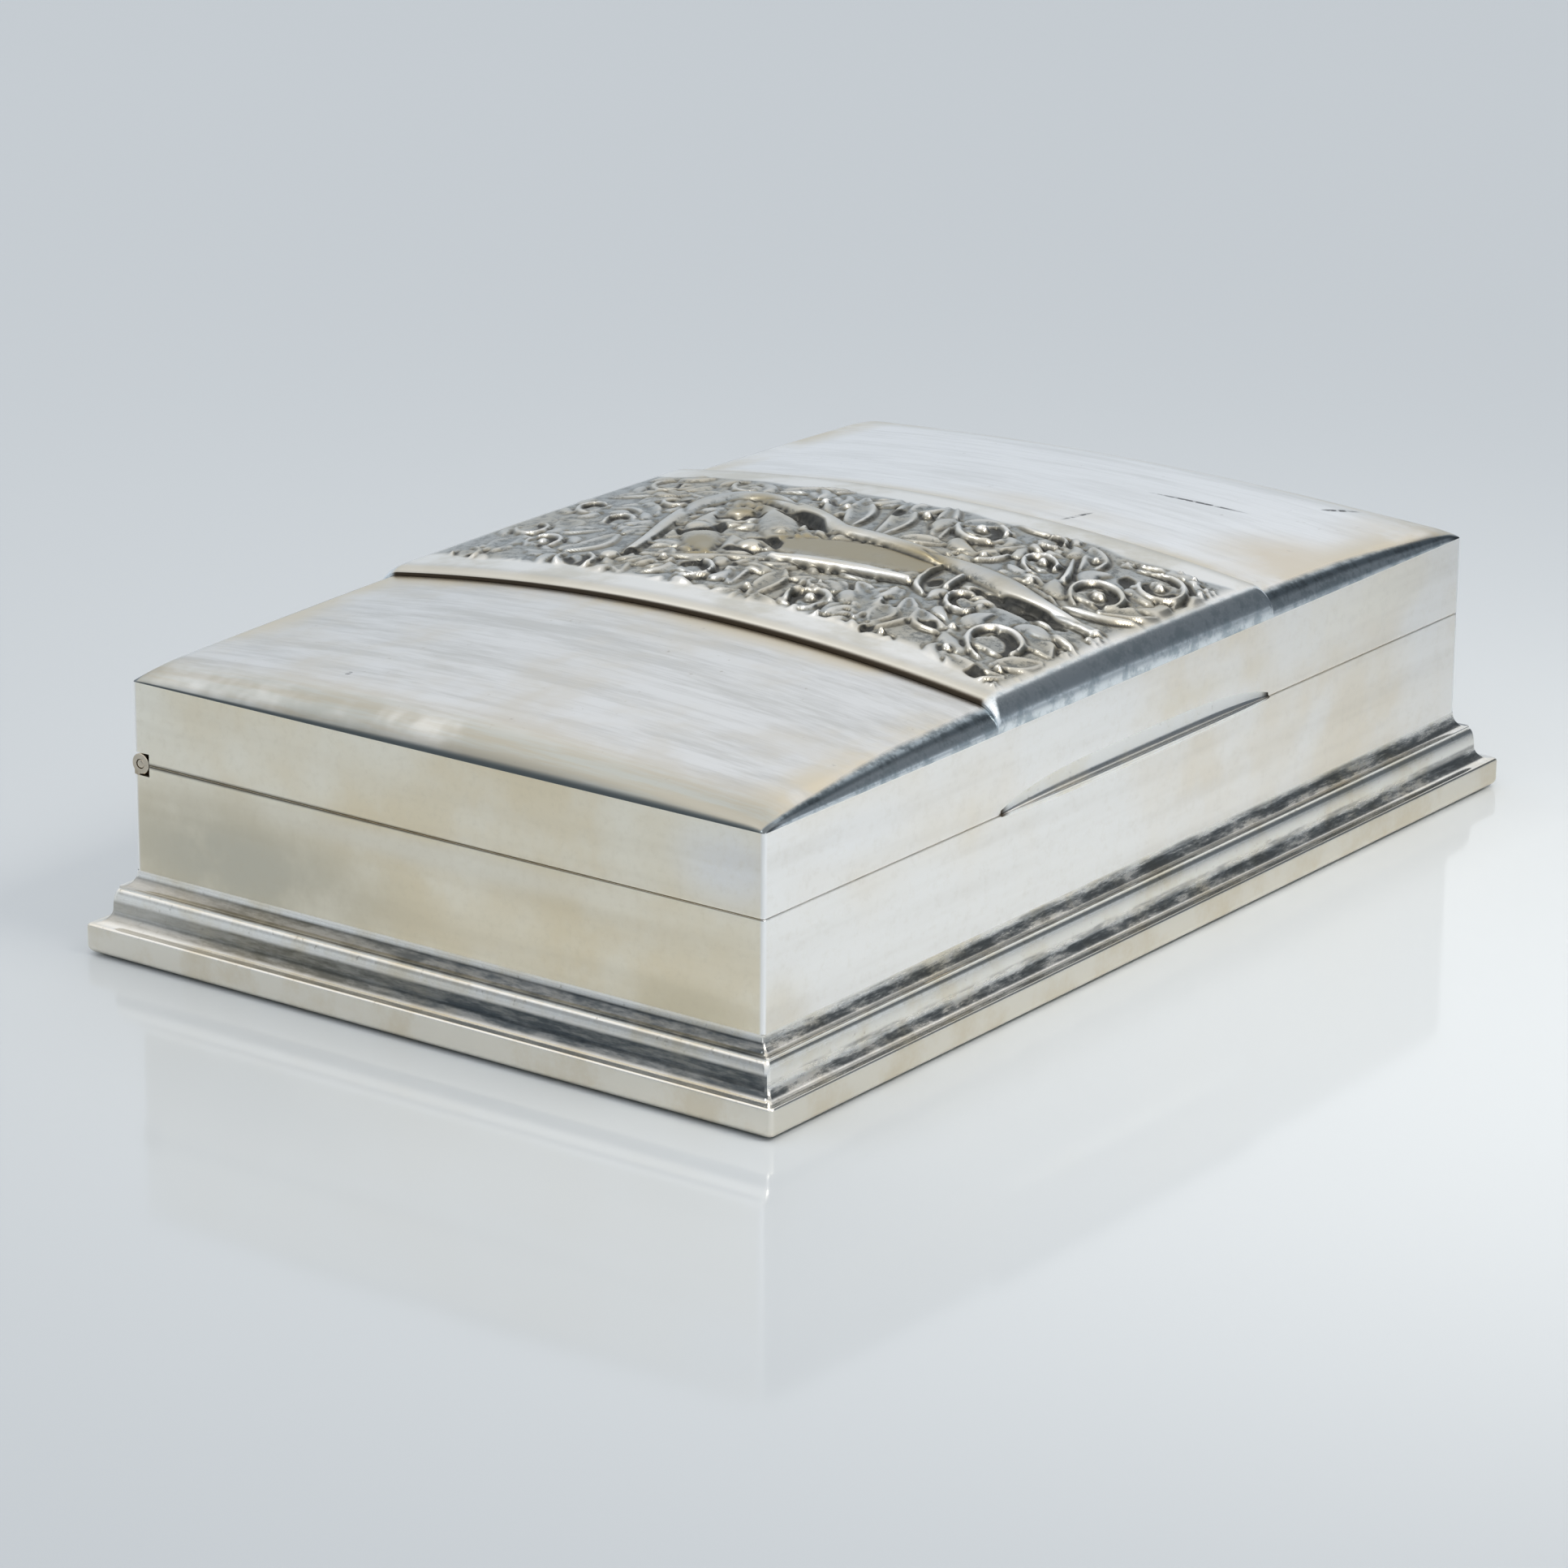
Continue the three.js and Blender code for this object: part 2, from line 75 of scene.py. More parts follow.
# Details of the CAD part that its boxes don't show
CAVETTO_REACH, CAVETTO_FOOT = 1.65, 8.95
FILLET_REACH, BULGE_TOP = 1.8, 8.6
BULGE_REACH, BULGE_FOOT = 2.4, 6.0
LEDGE_REACH, PLINTH_TOP = 4.3, 4.15
PLINTH_TOP_ROUND, PLINTH_FOOT_ROUND = 0.35, 0.95
FOOT_REACH, MOULDING_SHEET = 4.0, 0.8
LIP_GAP, LIP_START = 0.35, 0.5
KNUCKLE_R, PIN_R, PIN_GAP, NOTCH = 1.35, 0.6, 0.05, 1.5
END_ROLL, SIDE_ROLL = (8.0, 0.5), (3.2, 0.42)  # rolled edges of the dome: width, and share of the rise
BAND_STAND, BAND_EDGE, SHOULDER = 1.1, 0.25, 2.2
BAND_END, BAND_END_ROUND, FIELD_END = 0.6, 3.0, 1.5
LIP_REACH, GROOVE_REACH, BEAD_DROP, THUMB_CLEAR, THUMB_TIP = 1.1, 0.55, 0.6, 0.12, 0.2
LID_SHEET = 0.9

# Thumbpiece, with a steeper face, a fuller lip and a flatter bead than the CAD part has
FACE_REACH, FACE_FOOT = 0.05, 1.25
LIP_EDGE, LIP_UNDER, LIP_ROUND, BEAD_REACH = 0.5, 0.05, 0.1, 0.6

# Soft edges
SHEET_EDGE = 0.14  # rounding of the sheet along the seam
CORNER = 0.45  # upright corners of the sheet
HOLD = 0.08  # from a rounded edge to the line that keeps the face beside it flat
TIGHT = 0.05  # corners that look sharp
MOULDING_CORNER, CORNER_GROWTH = 0.25, 0.35  # mitred corners of the moulding: at the wall, and more per reach
LINING_EDGE, PIN_EDGE, KNUCKLE_EDGE = 0.35, 0.2, 0.08
FELT_FRAY, FELT_NAP = 0.12, 0.03  # unevenness of the felt's edge and face

# How the meshes are made
# degrees from which an edge is shaded sharp, on plain, on rounded and on chased pieces
SHARP, ROUND_SHARP, RELIEF_SHARP = 35, 60, 70
KNUCKLE_STEPS, PIN_STEPS, THUMB_STEPS, BEAD_STEPS = 44, 32, 72, 13
FELT_GRID = (120, 76)  # points along the two sides of the felt
DOME_PITCH, BAND_PITCH = 1.6, 0.265  # of the grids of the dome and of the band
BAND_LIFT = 0.03  # keeps the band's underside off the dome
FAR = 99.0  # beyond the object

# for each side its turn about Z in degrees, its half length and its wall's distance from the middle
SIDES = {
    "front": (0, HALF_X, HALF_Y),
    "right": (90, HALF_Y, HALF_X),
    "back": (180, HALF_X, HALF_Y),
    "left": (-90, HALF_Y, HALF_X),
}


# Meshes


def add_piece(name, shape, material, body, node, sharp=SHARP):
    """A shape in millimetres, in the row frame, that stands for a CAD node and rides on its body."""
    points, faces = shape
    mesh = bpy.data.meshes.new(name)
    mesh.from_pydata((np.asarray(points, float) * MM).tolist(), [], faces)
    mesh.materials.append(material)
    obj = bpy.data.objects.new(name, mesh)
    bpy.context.scene.collection.objects.link(obj)
    shade(mesh, sharp)
    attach(obj, body)
    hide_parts(node)
    return obj


def shade(mesh, sharp):
    mesh.validate()
    mesh.shade_smooth()
    mesh.set_sharp_from_angle(angle=math.radians(sharp))


def grid_faces(rows, columns, start=0, closed=False):
    """Quads between neighbouring rows of points; closed joins the last column to the first."""
    faces = []
    last = columns if closed else columns - 1
    for i in range(rows - 1):
        for j in range(last):
            a = start + i * columns + j
            b = start + i * columns + (j + 1) % columns
            faces.append((a, b, b + columns, a + columns))
    return faces


def flipped(faces):
    return [face[::-1] for face in faces]


def tube(rings):
    """Points and faces of a closed body through rings of points, with flat ends."""
    count = len(rings[0])
    last = (len(rings) - 1) * count
    faces = flipped(grid_faces(len(rings), count, closed=True))
    faces.append(tuple(range(count)))
    faces.append(tuple(range(last, last + count))[::-1])
    return np.array(rings).reshape(-1, 3), faces


def turned(points, degrees):
    c, s = math.cos(math.radians(degrees)), math.sin(math.radians(degrees))
    x, y, z = np.asarray(points, float).T
    return np.stack([x * c - y * s, x * s + y * c, z], 1)


def side_strip(side, section, radii, steps=6):
    """Points and faces of a strip along one side, mitred at its ends, with its corners rounded there.

    The section is a list of (reach outward from the wall, height), anticlockwise.
    """
    angle, half, face = SIDES[side]
    stations = [(t, 0.0) for t in np.radians(np.linspace(45, 0, steps + 1))] + [(0.0, HOLD)]
    rings = []
    for sign, order in ((-1, stations), (1, stations[::-1])):
        for t, back in order:
            ring = []
            for (reach, z), r in zip(section, radii):
                along = half + reach - r + r * math.sin(t) - back
                ring.append((sign * along, -(face + reach - r + r * math.cos(t)), z))
            rings.append(ring)
    points, faces = tube(rings)
    return turned(points, angle), faces


def cut_block(obj, low, high):
    """Takes a block away from a piece, as the hinge's recess does."""
    bpy.ops.mesh.primitive_cube_add(size=1)
    cutter = bpy.context.object
    cutter.scale = [(b - a) * MM for a, b in zip(low, high)]
    cutter.location = [(a + b) / 2 * MM for a, b in zip(low, high)]
    modifier = obj.modifiers.new("recess", "BOOLEAN")
    modifier.operation = "DIFFERENCE"
    modifier.object = cutter
    bpy.context.view_layer.update()
    made = bpy.data.meshes.new_from_object(obj.evaluated_get(bpy.context.evaluated_depsgraph_get()))
    obj.modifiers.clear()
    obj.data = made
    bpy.data.objects.remove(cutter)
    shade(made, SHARP)


def quarter(start, end, flat_first, steps=12):
    """Elliptical quarter from start to end, without its start; flat_first leaves the start level."""
    t = np.linspace(0, math.pi / 2, steps + 1)[1:]
    early, late = np.sin(t), 1 - np.cos(t)
    x, y = (early, late) if flat_first else (late, early)
    return [(start[0] + (end[0] - start[0]) * a, start[1] + (end[1] - start[1]) * b) for a, b in zip(x, y)]


def rounded_box(low, high, bevel, steps=3):
    """Points and faces of a block with rounded edges and corners, as stacked rounded rectangles."""
    (x0, y0, z0), (x1, y1, z1) = low, high
    t = np.linspace(0, math.pi / 2, steps + 1)
    levels = [(z0 + bevel * (1 - math.sin(a)), bevel * math.cos(a)) for a in t[::-1]]
    levels += [(z1 - bevel * (1 - math.sin(a)), bevel * math.cos(a)) for a in t]
    centres = [(x1 - bevel, y1 - bevel), (x0 + bevel, y1 - bevel)]
    centres += [(x0 + bevel, y0 + bevel), (x1 - bevel, y0 + bevel)]
    rings = []
    for z, r in levels:
        ring = []
        for k, (x, y) in enumerate(centres):
            for a in t + k * math.pi / 2:
                ring.append((x + r * math.cos(a), y + r * math.sin(a), z))
        rings.append(ring)
    points, faces = tube(rings)
    return points, flipped(faces)


def add_block(name, material, body, node, bevel):
    """A piece that is a rounded block of the CAD node's size."""
    add_piece(name, rounded_box(*cad_box(node), bevel), material, body, node)


def rim_loop(rows, columns):
    """Points round the edge of a grid, in order."""
    loop = list(range(columns))
    loop += [i * columns + columns - 1 for i in range(1, rows)]
    loop += [(rows - 1) * columns + j for j in range(columns - 2, -1, -1)]
    return loop + [i * columns for i in range(rows - 2, 0, -1)]


def shell(upper, lower):
    """Points and faces of a sheet between two grids of points."""
    rows, columns, _ = upper.shape
    count = rows * columns
    loop = rim_loop(rows, columns)
    faces = grid_faces(rows, columns) + flipped(grid_faces(rows, columns, count))
    faces += [(count + a, count + b, b, a) for a, b in zip(loop, loop[1:] + loop[:1])]
    return np.concatenate([upper.reshape(-1, 3), lower.reshape(-1, 3)]), faces


def edge_lines(half, width, steps, pitch):
    """Grid lines from -half to half, closer together on the rolled edges."""
    edge = half - width * (1 - np.cos(np.linspace(0, math.pi / 2, steps + 1)))
    inner = half - width
    middle = np.linspace(-inner, inner, int(2 * inner / pitch) + 2)[1:-1]
    return np.concatenate([-edge, middle, edge[::-1]])


# Materials


class Shader:
    """Node tree of a material or the world, with short ways to add nodes, and the colour laid on so far."""

    def __init__(self, owner, colour):
        owner.use_nodes = True
        self.owner = owner
        self.tree = owner.node_tree
        self.colour = colour
        self.source = self.add("ShaderNodeTexCoord").outputs
        self.here = self.source["Object"]
        self.here_mm = self.scaled([1 / MM] * 3)
        self.place = self.add("ShaderNodeSeparateXYZ", {0: self.here_mm}).outputs

    def add(self, kind, inputs=None, **settings):
        node = self.tree.nodes.new(kind)
        for key, value in settings.items():
            setattr(node, key, value)
        for key, value in (inputs or {}).items():
            self.set(node.inputs[key], value)
        return node

    def set(self, socket, value):
        """Links the socket to another node's output, or gives it a value."""
        if isinstance(value, bpy.types.NodeSocket):
            self.tree.links.new(value, socket)
        elif socket.type == "RGBA":
            socket.default_value = (*value, 1)
        else:
            socket.default_value = value

    def scaled(self, scale):
        return self.add("ShaderNodeMapping", {"Vector": self.here, "Scale": scale}).outputs["Vector"]

    def noise(self, scale, detail, roughness=0.55, stretch=(1, 1, 1)):
        """Noise of a scale per metre, drawn out along the axes on which stretch is below 1."""
        inputs = {"Vector": self.scaled(stretch), "Scale": scale, "Detail": detail, "Roughness": roughness}
        return self.add("ShaderNodeTexNoise", inputs).outputs["Fac"]

    def span(self, value, low, high, to_low=0.0, to_high=1.0):
        """The value, from low and high to to_low and to_high, eased at both ends."""
        inputs = {"Value": value, "From Min": low, "From Max": high, "To Min": to_low, "To Max": to_high}
        return self.add("ShaderNodeMapRange", inputs, interpolation_type="SMOOTHSTEP").outputs["Result"]

    def mix(self, factor, first, second):
        return self.add("ShaderNodeMix", {0: factor, 6: first, 7: second}, data_type="RGBA").outputs[2]

    def maths(self, operation, *values):
        return self.add("ShaderNodeMath", dict(enumerate(values)), operation=operation).outputs[0]

    def times(self, *masks):
        return reduce(lambda first, second: self.maths("MULTIPLY", first, second), masks)

    def paint(self, colour, *masks):
        """Lays a colour over what is there, where all the masks let it."""
        self.colour = self.mix(self.times(*masks), self.colour, colour)

    def oval(self, centre, half, soft, turn=0.0):
        """Mask of a soft-edged oval, its centre and half sizes in millimetres, turned about Z by degrees."""
        inputs = {"Vector": self.here_mm, "Location": centre, "Scale": half}
        inputs["Rotation"] = (0, 0, math.radians(turn))
        inside = self.add("ShaderNodeMapping", inputs, vector_type="TEXTURE").outputs["Vector"]
        length = self.add("ShaderNodeVectorMath", {0: inside}, operation="LENGTH").outputs["Value"]
        return self.span(length, 1.0, 1.0 - soft)

    def inset(self, axis, half):
        """Distance in millimetres from the nearer end, half from the middle on the given axis."""
        return self.maths("SUBTRACT", half, self.maths("ABSOLUTE", self.place[axis]))

    def front_to_back(self, front, back):
        """A value that goes from one at the front of the box to another at its back."""
        return self.span(self.place["Y"], -HALF_Y, HALF_Y, front, back)

    def upright(self):
        """Mask of the faces that stand upright on the closed box."""
        tilt = self.add("ShaderNodeSeparateXYZ", {0: self.source["Normal"]}).outputs["Z"]
        return self.span(self.maths("ABSOLUTE", tilt), 0.9, 0.6)

    def bumps(self, heights):
        """A chain of bump nodes from (height, strength, depth in millimetres)."""
        inputs = {}
        for height, strength, depth in heights:
            inputs.update({"Height": height, "Strength": strength, "Distance": depth * MM})
            inputs["Normal"] = self.add("ShaderNodeBump", inputs).outputs["Normal"]
        return inputs["Normal"]

    def finish(self, roughness, heights=(), metallic=1.0, others=None):
        """Sets the material's surface, its colour as laid on so far, and hands the material back."""
        looks = {"Base Color": self.colour, "Roughness": roughness, "Metallic": metallic, **(others or {})}
        if heights:
            looks["Normal"] = self.bumps(heights)
        surface = self.tree.nodes["Principled BSDF"]
        for key, value in looks.items():
            self.set(surface.inputs[key], value)
        return self.owner


def new_material(name, colour):
    return Shader(bpy.data.materials.new(name), colour)


def wall_silver(name, clean, stain, cover, ovals=(), seam=None):
    """Old silver sheet with soft patches of tarnish, a painted highlight up its upright corners, and a
    painted shadow along the seam.

    Cover is the noise at which a patch starts and is full, seam half the line's width at front and back.
    """
    s = new_material(name, clean)
    clouds = s.noise(24, 3, 0.5)
    mottle = s.noise(90, 4)
    rubbing = s.noise(300, 3, 0.5, (0.06, 0.06, 1))
    grain = s.noise(800, 4, 0.7)
    s.paint(stain, s.span(clouds, *cover), s.span(mottle, 0.3, 0.65, 0.4, 1.0))
    for centre, half, tint, strength in ovals:
        s.paint(tint, s.oval(centre, half, 0.9), s.span(mottle, 0.25, 0.6, 0.4 * strength, strength))
    s.paint([0.6 * c for c in stain], s.span(rubbing, 0.4, 0.75, 0.0, 0.16))
    s.paint([0.7 * c for c in stain], s.span(grain, 0.45, 0.75, 0.0, 0.16))
    # painted highlight: the sheet is made paler up its upright corners, as if they caught the light
    corner = s.maths("MAXIMUM", s.inset(0, HALF_X), s.inset(1, HALF_Y))
    s.paint([1 - 0.15 * (1 - c) for c in clean], s.span(corner, 0.7, 0.3))
    # painted shadow: a dark line on the upright faces along the seam, the shade in the gap between lid and
    # body, wider at the back
    if seam:
        off_seam = s.maths("ABSOLUTE", s.inset(2, SEAM))
        s.paint((0.03, 0.028, 0.025), s.span(off_seam, s.front_to_back(*seam), 0.0), s.upright())
    return s.finish(s.span(clouds, 0.3, 0.7, 0.285, 0.34))


# scratches and a pit on the dome, as (x, y, half length, half width, turn in degrees)
MARKS = (
    (58.4, -20.6, 8.6, 0.55, 97),
    (71.9, -34.8, 3.6, 0.7, 138),
    (38.6, -13.9, 3.8, 0.45, 172),
    (-70.5, 21.8, 0.7, 0.5, 0),
)

# tan stains on the dome, as (x, y, half length, half width, strength)
STAINS = (
    (45, -41, 15, 13, 0.95),
    (72, -44, 20, 9, 0.6),
    (40, -10, 6, 22, 0.5),
)


def front_edge(s, roughness, upper):
    """Paints the rolled front and back edges as a painted reflection grained with oxide: pale blue-white at
    the very edge, blue-grey and darker by upper above it, darkest near the corners; gives the roughness.

    The edges narrow towards the corners.
    """
    end = s.inset(0, HALF_X)
    inset = s.maths("DIVIDE", s.inset(1, HALF_Y), s.span(end, 0, 32, 0.3, 1.0))
    edge = s.span(inset, 2.8, 1.6)
    shade = s.span(inset, 0.5, 1.1, 0.0, upper)
    grain = s.noise(420, 5, 0.7)
    # painted reflection on the roll: pale at the very edge, dark blue-grey above it, with oxide grain
    s.paint(s.mix(shade, (0.9, 0.95, 0.98), (0.36, 0.42, 0.46)), edge)
    s.paint(s.mix(shade, (0.5, 0.57, 0.61), (0.13, 0.16, 0.18)), edge, s.span(grain, 0.4, 0.62))
    s.paint((0.17, 0.19, 0.2), edge, s.span(end, 4, 1))
    return s.mix(edge, roughness, s.span(grain, 0.35, 0.65, 0.16, 0.24))


def top_silver(name):
    """The dome: streaked front to back, duller on the left, tarnished at its edges, stained and scratched,
    with a painted dark reflection along the rim at its two ends and a painted shadow beside the band's foot.
    """
    s = new_material(name, (0.97, 0.975, 0.98))
    clouds = s.noise(55, 4, 0.6)
    streaks = s.noise(600, 4, 0.7, (1, 0.06, 1))
    wide_streaks = s.noise(230, 5, 0.7, (1, 0.12, 1))
    across = s.place["X"]
    left = s.span(across, 20, -30, 0.35, 1.0)
    s.paint((0.8, 0.805, 0.805), s.span(across, 10, -10))
    s.paint((0.62, 0.62, 0.61), left, s.span(streaks, 0.42, 0.75, 0.0, 0.75))
    s.paint((0.57, 0.57, 0.55), left, s.span(wide_streaks, 0.45, 0.66, 0.0, 0.7))
    s.paint((0.68, 0.64, 0.56), s.span(across, -20, -40), s.span(clouds, 0.44, 0.7, 0.0, 0.65))
    side = s.inset(0, BAND_HALF)
    edges = s.maths("MAXIMUM", s.span(s.inset(1, HALF_Y), 9, 2), s.span(side, -6, -0.5))
    s.paint((0.76, 0.68, 0.53), edges, s.span(clouds, 0.36, 0.6, 0.1, 1.0))
    for x, y, length, width, strength in STAINS:
        oval = s.oval((x, y, DOME_TOP), (length, width, FAR), 0.9)
        s.paint((0.8, 0.71, 0.57), oval, s.span(clouds, 0.3, 0.6, 0.4, 1.0), strength)
    end = s.inset(0, HALF_X)
    ends = s.times(s.span(end, 8.5, 2), s.span(clouds, 0.35, 0.55, 0.55, 1.0))
    s.paint(s.mix(s.span(streaks, 0.4, 0.6), (0.45, 0.46, 0.43), (0.44, 0.42, 0.36)), ends)
    # painted dark reflection: a dark line along the rim at the dome's two ends, wider at the front
    s.paint((0.13, 0.15, 0.155), s.span(end, s.front_to_back(0.5, 0.1), 0.02))
    # painted shadow: a thin brown-black line on the dome beside the band's foot
    s.paint((0.14, 0.12, 0.09), s.span(side, -0.2, 0.0))
    s.paint((0.35, 0.31, 0.26), s.span(s.noise(700, 4, 0.6), 0.66, 0.8, 0.0, 0.5))
    for x, y, length, width, turn in MARKS:
        oval = s.oval((x, y, DOME_TOP), (length, width, FAR), 0.6, turn)
        s.paint((0.05, 0.05, 0.055), oval, s.span(s.noise(900, 2), 0.38, 0.5, 0.2, 1.0))
    roughness = front_edge(s, s.span(ends, 0, 1, 0.28, 0.6), 1.0)
    return s.finish(roughness, [(s.noise(50, 2, 0.4), 0.12, 0.3), (streaks, 0.05, 0.03)])


def pitted_silver(name, clean, stain, pit):
    """The start of a polished and pitted silver, with its mottling and its bumps."""
    s = new_material(name, clean)
    mottle = s.noise(90, 5, 0.65)
    pits = s.noise(1300, 3, 0.6)
    s.paint(stain, s.span(mottle, 0.42, 0.68))
    s.paint(pit, s.span(pits, 0.6, 0.78, 0.0, 0.5))
    return s, mottle, [(s.noise(60, 2, 0.4), 0.12, 0.25), (pits, 0.12, 0.05)]


def drawn_silver(name, clean, stain, painted_shade_end=None):
    """Thumbpiece and hinge, with painted shadow at the tips before the end of the half length, if it is
    given.
    """
    s, mottle, bumps = pitted_silver(name, clean, stain, [0.4 * c for c in stain])
    if painted_shade_end:
        # painted shadow: dark tips within the two ends of the half length
        s.paint((0.09, 0.07, 0.05), s.span(s.inset(0, painted_shade_end), 2, 0))
    return s.finish(s.span(mottle, 0.3, 0.7, 0.12, 0.25), bumps)


def moulding_silver(name, hollows, oxide_and_reflection, even):
    """Mouldings, dull on the plinth, dark between the heights of each hollow with oxide and a painted
    reflection of the studio's dark side, blue-black toward the front.

    The third argument is its strength, less toward the back, and even how little it is broken up.
    """
    s, mottle, bumps = pitted_silver(name, (0.95, 0.93, 0.88), (0.84, 0.77, 0.63), (0.34, 0.31, 0.25))
    broken = s.noise(620, 5, 0.75, (0.16, 0.16, 1))
    height, depth = s.place["Z"], s.place["Y"]
    plinth = s.span(height, PLINTH_TOP, PLINTH_TOP - 0.4)
    s.paint(s.mix(s.span(mottle, 0.4, 0.65), (0.86, 0.82, 0.73), (0.78, 0.71, 0.58)), plinth)
    # oxide and painted dark reflection: how strongly the hollows are darkened, less toward the back
    strength = s.span(depth, 52, 25, 0.6 * oxide_and_reflection, oxide_and_reflection)
    black = s.mix(s.span(depth, 30, -10), (0.16, 0.15, 0.12), (0.085, 0.097, 0.105))
    roughness = s.span(plinth, 0, 1, 0.14, 0.35)
    for low, high in hollows:
        soft = 0.18 * (high - low)
        hollow = s.times(s.span(height, low, low + soft), s.span(height, high, high - soft))
        # oxide and painted dark reflection in each band of height, broken up by noise
        s.paint(black, hollow, s.span(broken, 0.38, 0.62, even, 1.0), strength)
        grain = s.times(hollow, s.span(broken, 0.36, 0.58, 0.32 - 0.2 * even, 0.13))
        roughness = s.maths("MAXIMUM", roughness, grain)
    return s.finish(roughness, bumps)


def relief_silver(name):
    """Chased silver: bright where rubbed; grey to black in the recesses and gold to black in the creases and
    pockets, with patina and painted shade; brown along its foot, with a painted shadow line at its edge.
    """
    s = new_material(name, (0.92, 0.91, 0.88))
    fields = (s.add("ShaderNodeAttribute", attribute_name=field) for field in ("crease", "warm", "low"))
    crease, warm, low = (field.outputs["Fac"] for field in fields)
    speckle = s.noise(900, 4, 0.6)
    clouds = s.noise(75, 5, 0.6)
    s.paint((0.72, 0.69, 0.61), s.span(clouds, 0.42, 0.64))
    # patina and painted shade in the parts lying low: blue-grey, near black where deepest
    s.paint(s.mix(s.span(clouds, 0.38, 0.62), (0.24, 0.27, 0.28), (0.38, 0.36, 0.3)), low)
    s.paint((0.09, 0.1, 0.1), s.span(low, 0.5, 0.85), s.span(s.noise(650, 5, 0.75), 0.46, 0.6, 0.0, 0.75))
    s.paint((0.36, 0.31, 0.2), warm, s.span(clouds, 0.3, 0.6, 0.7, 1.0))
    # tarnish and painted shade in the creases and pockets: gold-brown at their edges, near black inside
    s.paint((0.27, 0.25, 0.2), s.span(crease, 0.05, 0.3, 0.0, 0.8))
    s.paint((0.035, 0.036, 0.035), s.span(crease, 0.2, 0.65), s.span(speckle, 0.3, 0.7, 0.85, 1.0))
    side = s.inset(0, BAND_HALF)
    along = s.span(s.inset(1, HALF_Y), 1, 3)
    foot = s.times(s.span(side, 3.5, 0.5, 0.0, 0.85), along)
    s.paint((0.53, 0.51, 0.45), foot)
    # painted shadow: a thin dark line along the band's edge, wider at the front
    s.paint((0.07, 0.055, 0.04), s.span(side, s.front_to_back(0.7, 0.06), 0.05), along)
    rough = s.maths("MAXIMUM", s.span(crease, 0, 1, 0.28, 0.45), s.span(foot, 0, 0.85, 0.0, 0.5))
    return s.finish(front_edge(s, rough, 0.0), [(speckle, 0.05, 0.05)])


def wood(name, light, dark, grain_axis):
    s = new_material(name, light)
    stretch = [1.0, 1.0, 1.0]
    stretch[grain_axis] = 0.06
    pores = s.noise(2200, 3, 0.6, stretch)
    s.paint(dark, s.span(s.noise(260, 5, 0.6, stretch), 0.36, 0.66))
    s.paint([0.5 * c for c in dark], s.span(pores, 0.56, 0.75, 0, 0.5))
    return s.finish(s.span(pores, 0.3, 0.7, 0.5, 0.68), [(pores, 0.25, 0.1)], 0.0)


def felt_cloth(name):
    s = new_material(name, (0.012, 0.035, 0.022))
    fibres = s.noise(2600, 6, 0.75)
    s.paint((0.035, 0.085, 0.055), fibres)
    s.paint((0.05, 0.09, 0.06), s.span(s.noise(90, 3, 0.5), 0.5, 0.8, 0, 0.4))
    return s.finish(0.95, [(fibres, 0.5, 0.2)], 0.0, {"Sheen Weight": 0.3})


# soft patches on the walls, as (centre, half sizes, colour, strength)
DEEP = 9  # their half size across the sheet
LEFT_OVALS = (
    ((-HALF_X, -44, 31), (DEEP, 11, 8), (0.95, 0.95, 0.95), 0.95),
    ((-HALF_X, 33, 15), (DEEP, 38, 13), (0.62, 0.59, 0.49), 0.95),
    ((-HALF_X, -38, 12), (DEEP, 14, 5), (0.74, 0.67, 0.5), 0.6),
    ((-HALF_X, 0, 23), (DEEP, 40, 3), (0.9, 0.87, 0.78), 0.6),
)
FRONT_OVALS = (
    ((55, -HALF_Y, 33), (30, DEEP, 6), (1.0, 0.96, 0.87), 0.9),
    ((-62, -HALF_Y, 31), (26, DEEP, 8), (1.0, 1.0, 1.0), 0.9),
    ((-77, -HALF_Y, 12), (9, DEEP, 8), (0.84, 0.77, 0.63), 0.7),
    ((15, -HALF_Y, 30), (24, DEEP, 3), (0.88, 0.81, 0.66), 0.5),
)
LEFT = wall_silver("silver_left", (1.0, 0.96, 0.84), (0.9, 0.79, 0.58), (0.3, 0.6), LEFT_OVALS, (0.2, 0.55))
FRONT = wall_silver("silver_front", (1.0, 0.99, 0.97), (0.93, 0.86, 0.74), (0.47, 0.7), FRONT_OVALS)
TOP = top_silver("silver_top")
# bands of height on the mouldings darkened with oxide and a painted reflection of the studio's dark side
MID_CAVETTO = 0.35 * CAVETTO_FOOT + 0.65 * MOULDING_TOP
SIDE_HOLLOWS = ((CAVETTO_FOOT - 0.3, MID_CAVETTO), (PLINTH_TOP, BULGE_TOP - 1.2))
FRONT_HOLLOWS = ((CAVETTO_FOOT - 0.1, MOULDING_TOP), (PLINTH_TOP, BULGE_FOOT + 0.6))
SIDE_MOULDED = moulding_silver("silver_moulding_side", SIDE_HOLLOWS, 1.0, 0.8)
FRONT_MOULDED = moulding_silver("silver_moulding_front", FRONT_HOLLOWS, 0.6, 0.0)
THUMB = drawn_silver("silver_thumbpiece", (0.98, 0.97, 0.94), (0.92, 0.87, 0.76), THUMB_HALF)
HINGE = drawn_silver("silver_hinge", (0.66, 0.6, 0.5), (0.4, 0.31, 0.2))
RELIEF = relief_silver("silver_relief")
GILT = wall_silver("gilt", (0.9, 0.7, 0.33), (0.82, 0.6, 0.28), (0.4, 0.7))
CEDAR = (0.5, 0.27, 0.13), (0.36, 0.17, 0.08)
CEDAR_X = wood("cedar_along", *CEDAR, 0)
CEDAR_Y = wood("cedar_across", *CEDAR, 1)
BOARD = wood("base_wood", (0.2, 0.1, 0.05), (0.11, 0.05, 0.025), 0)
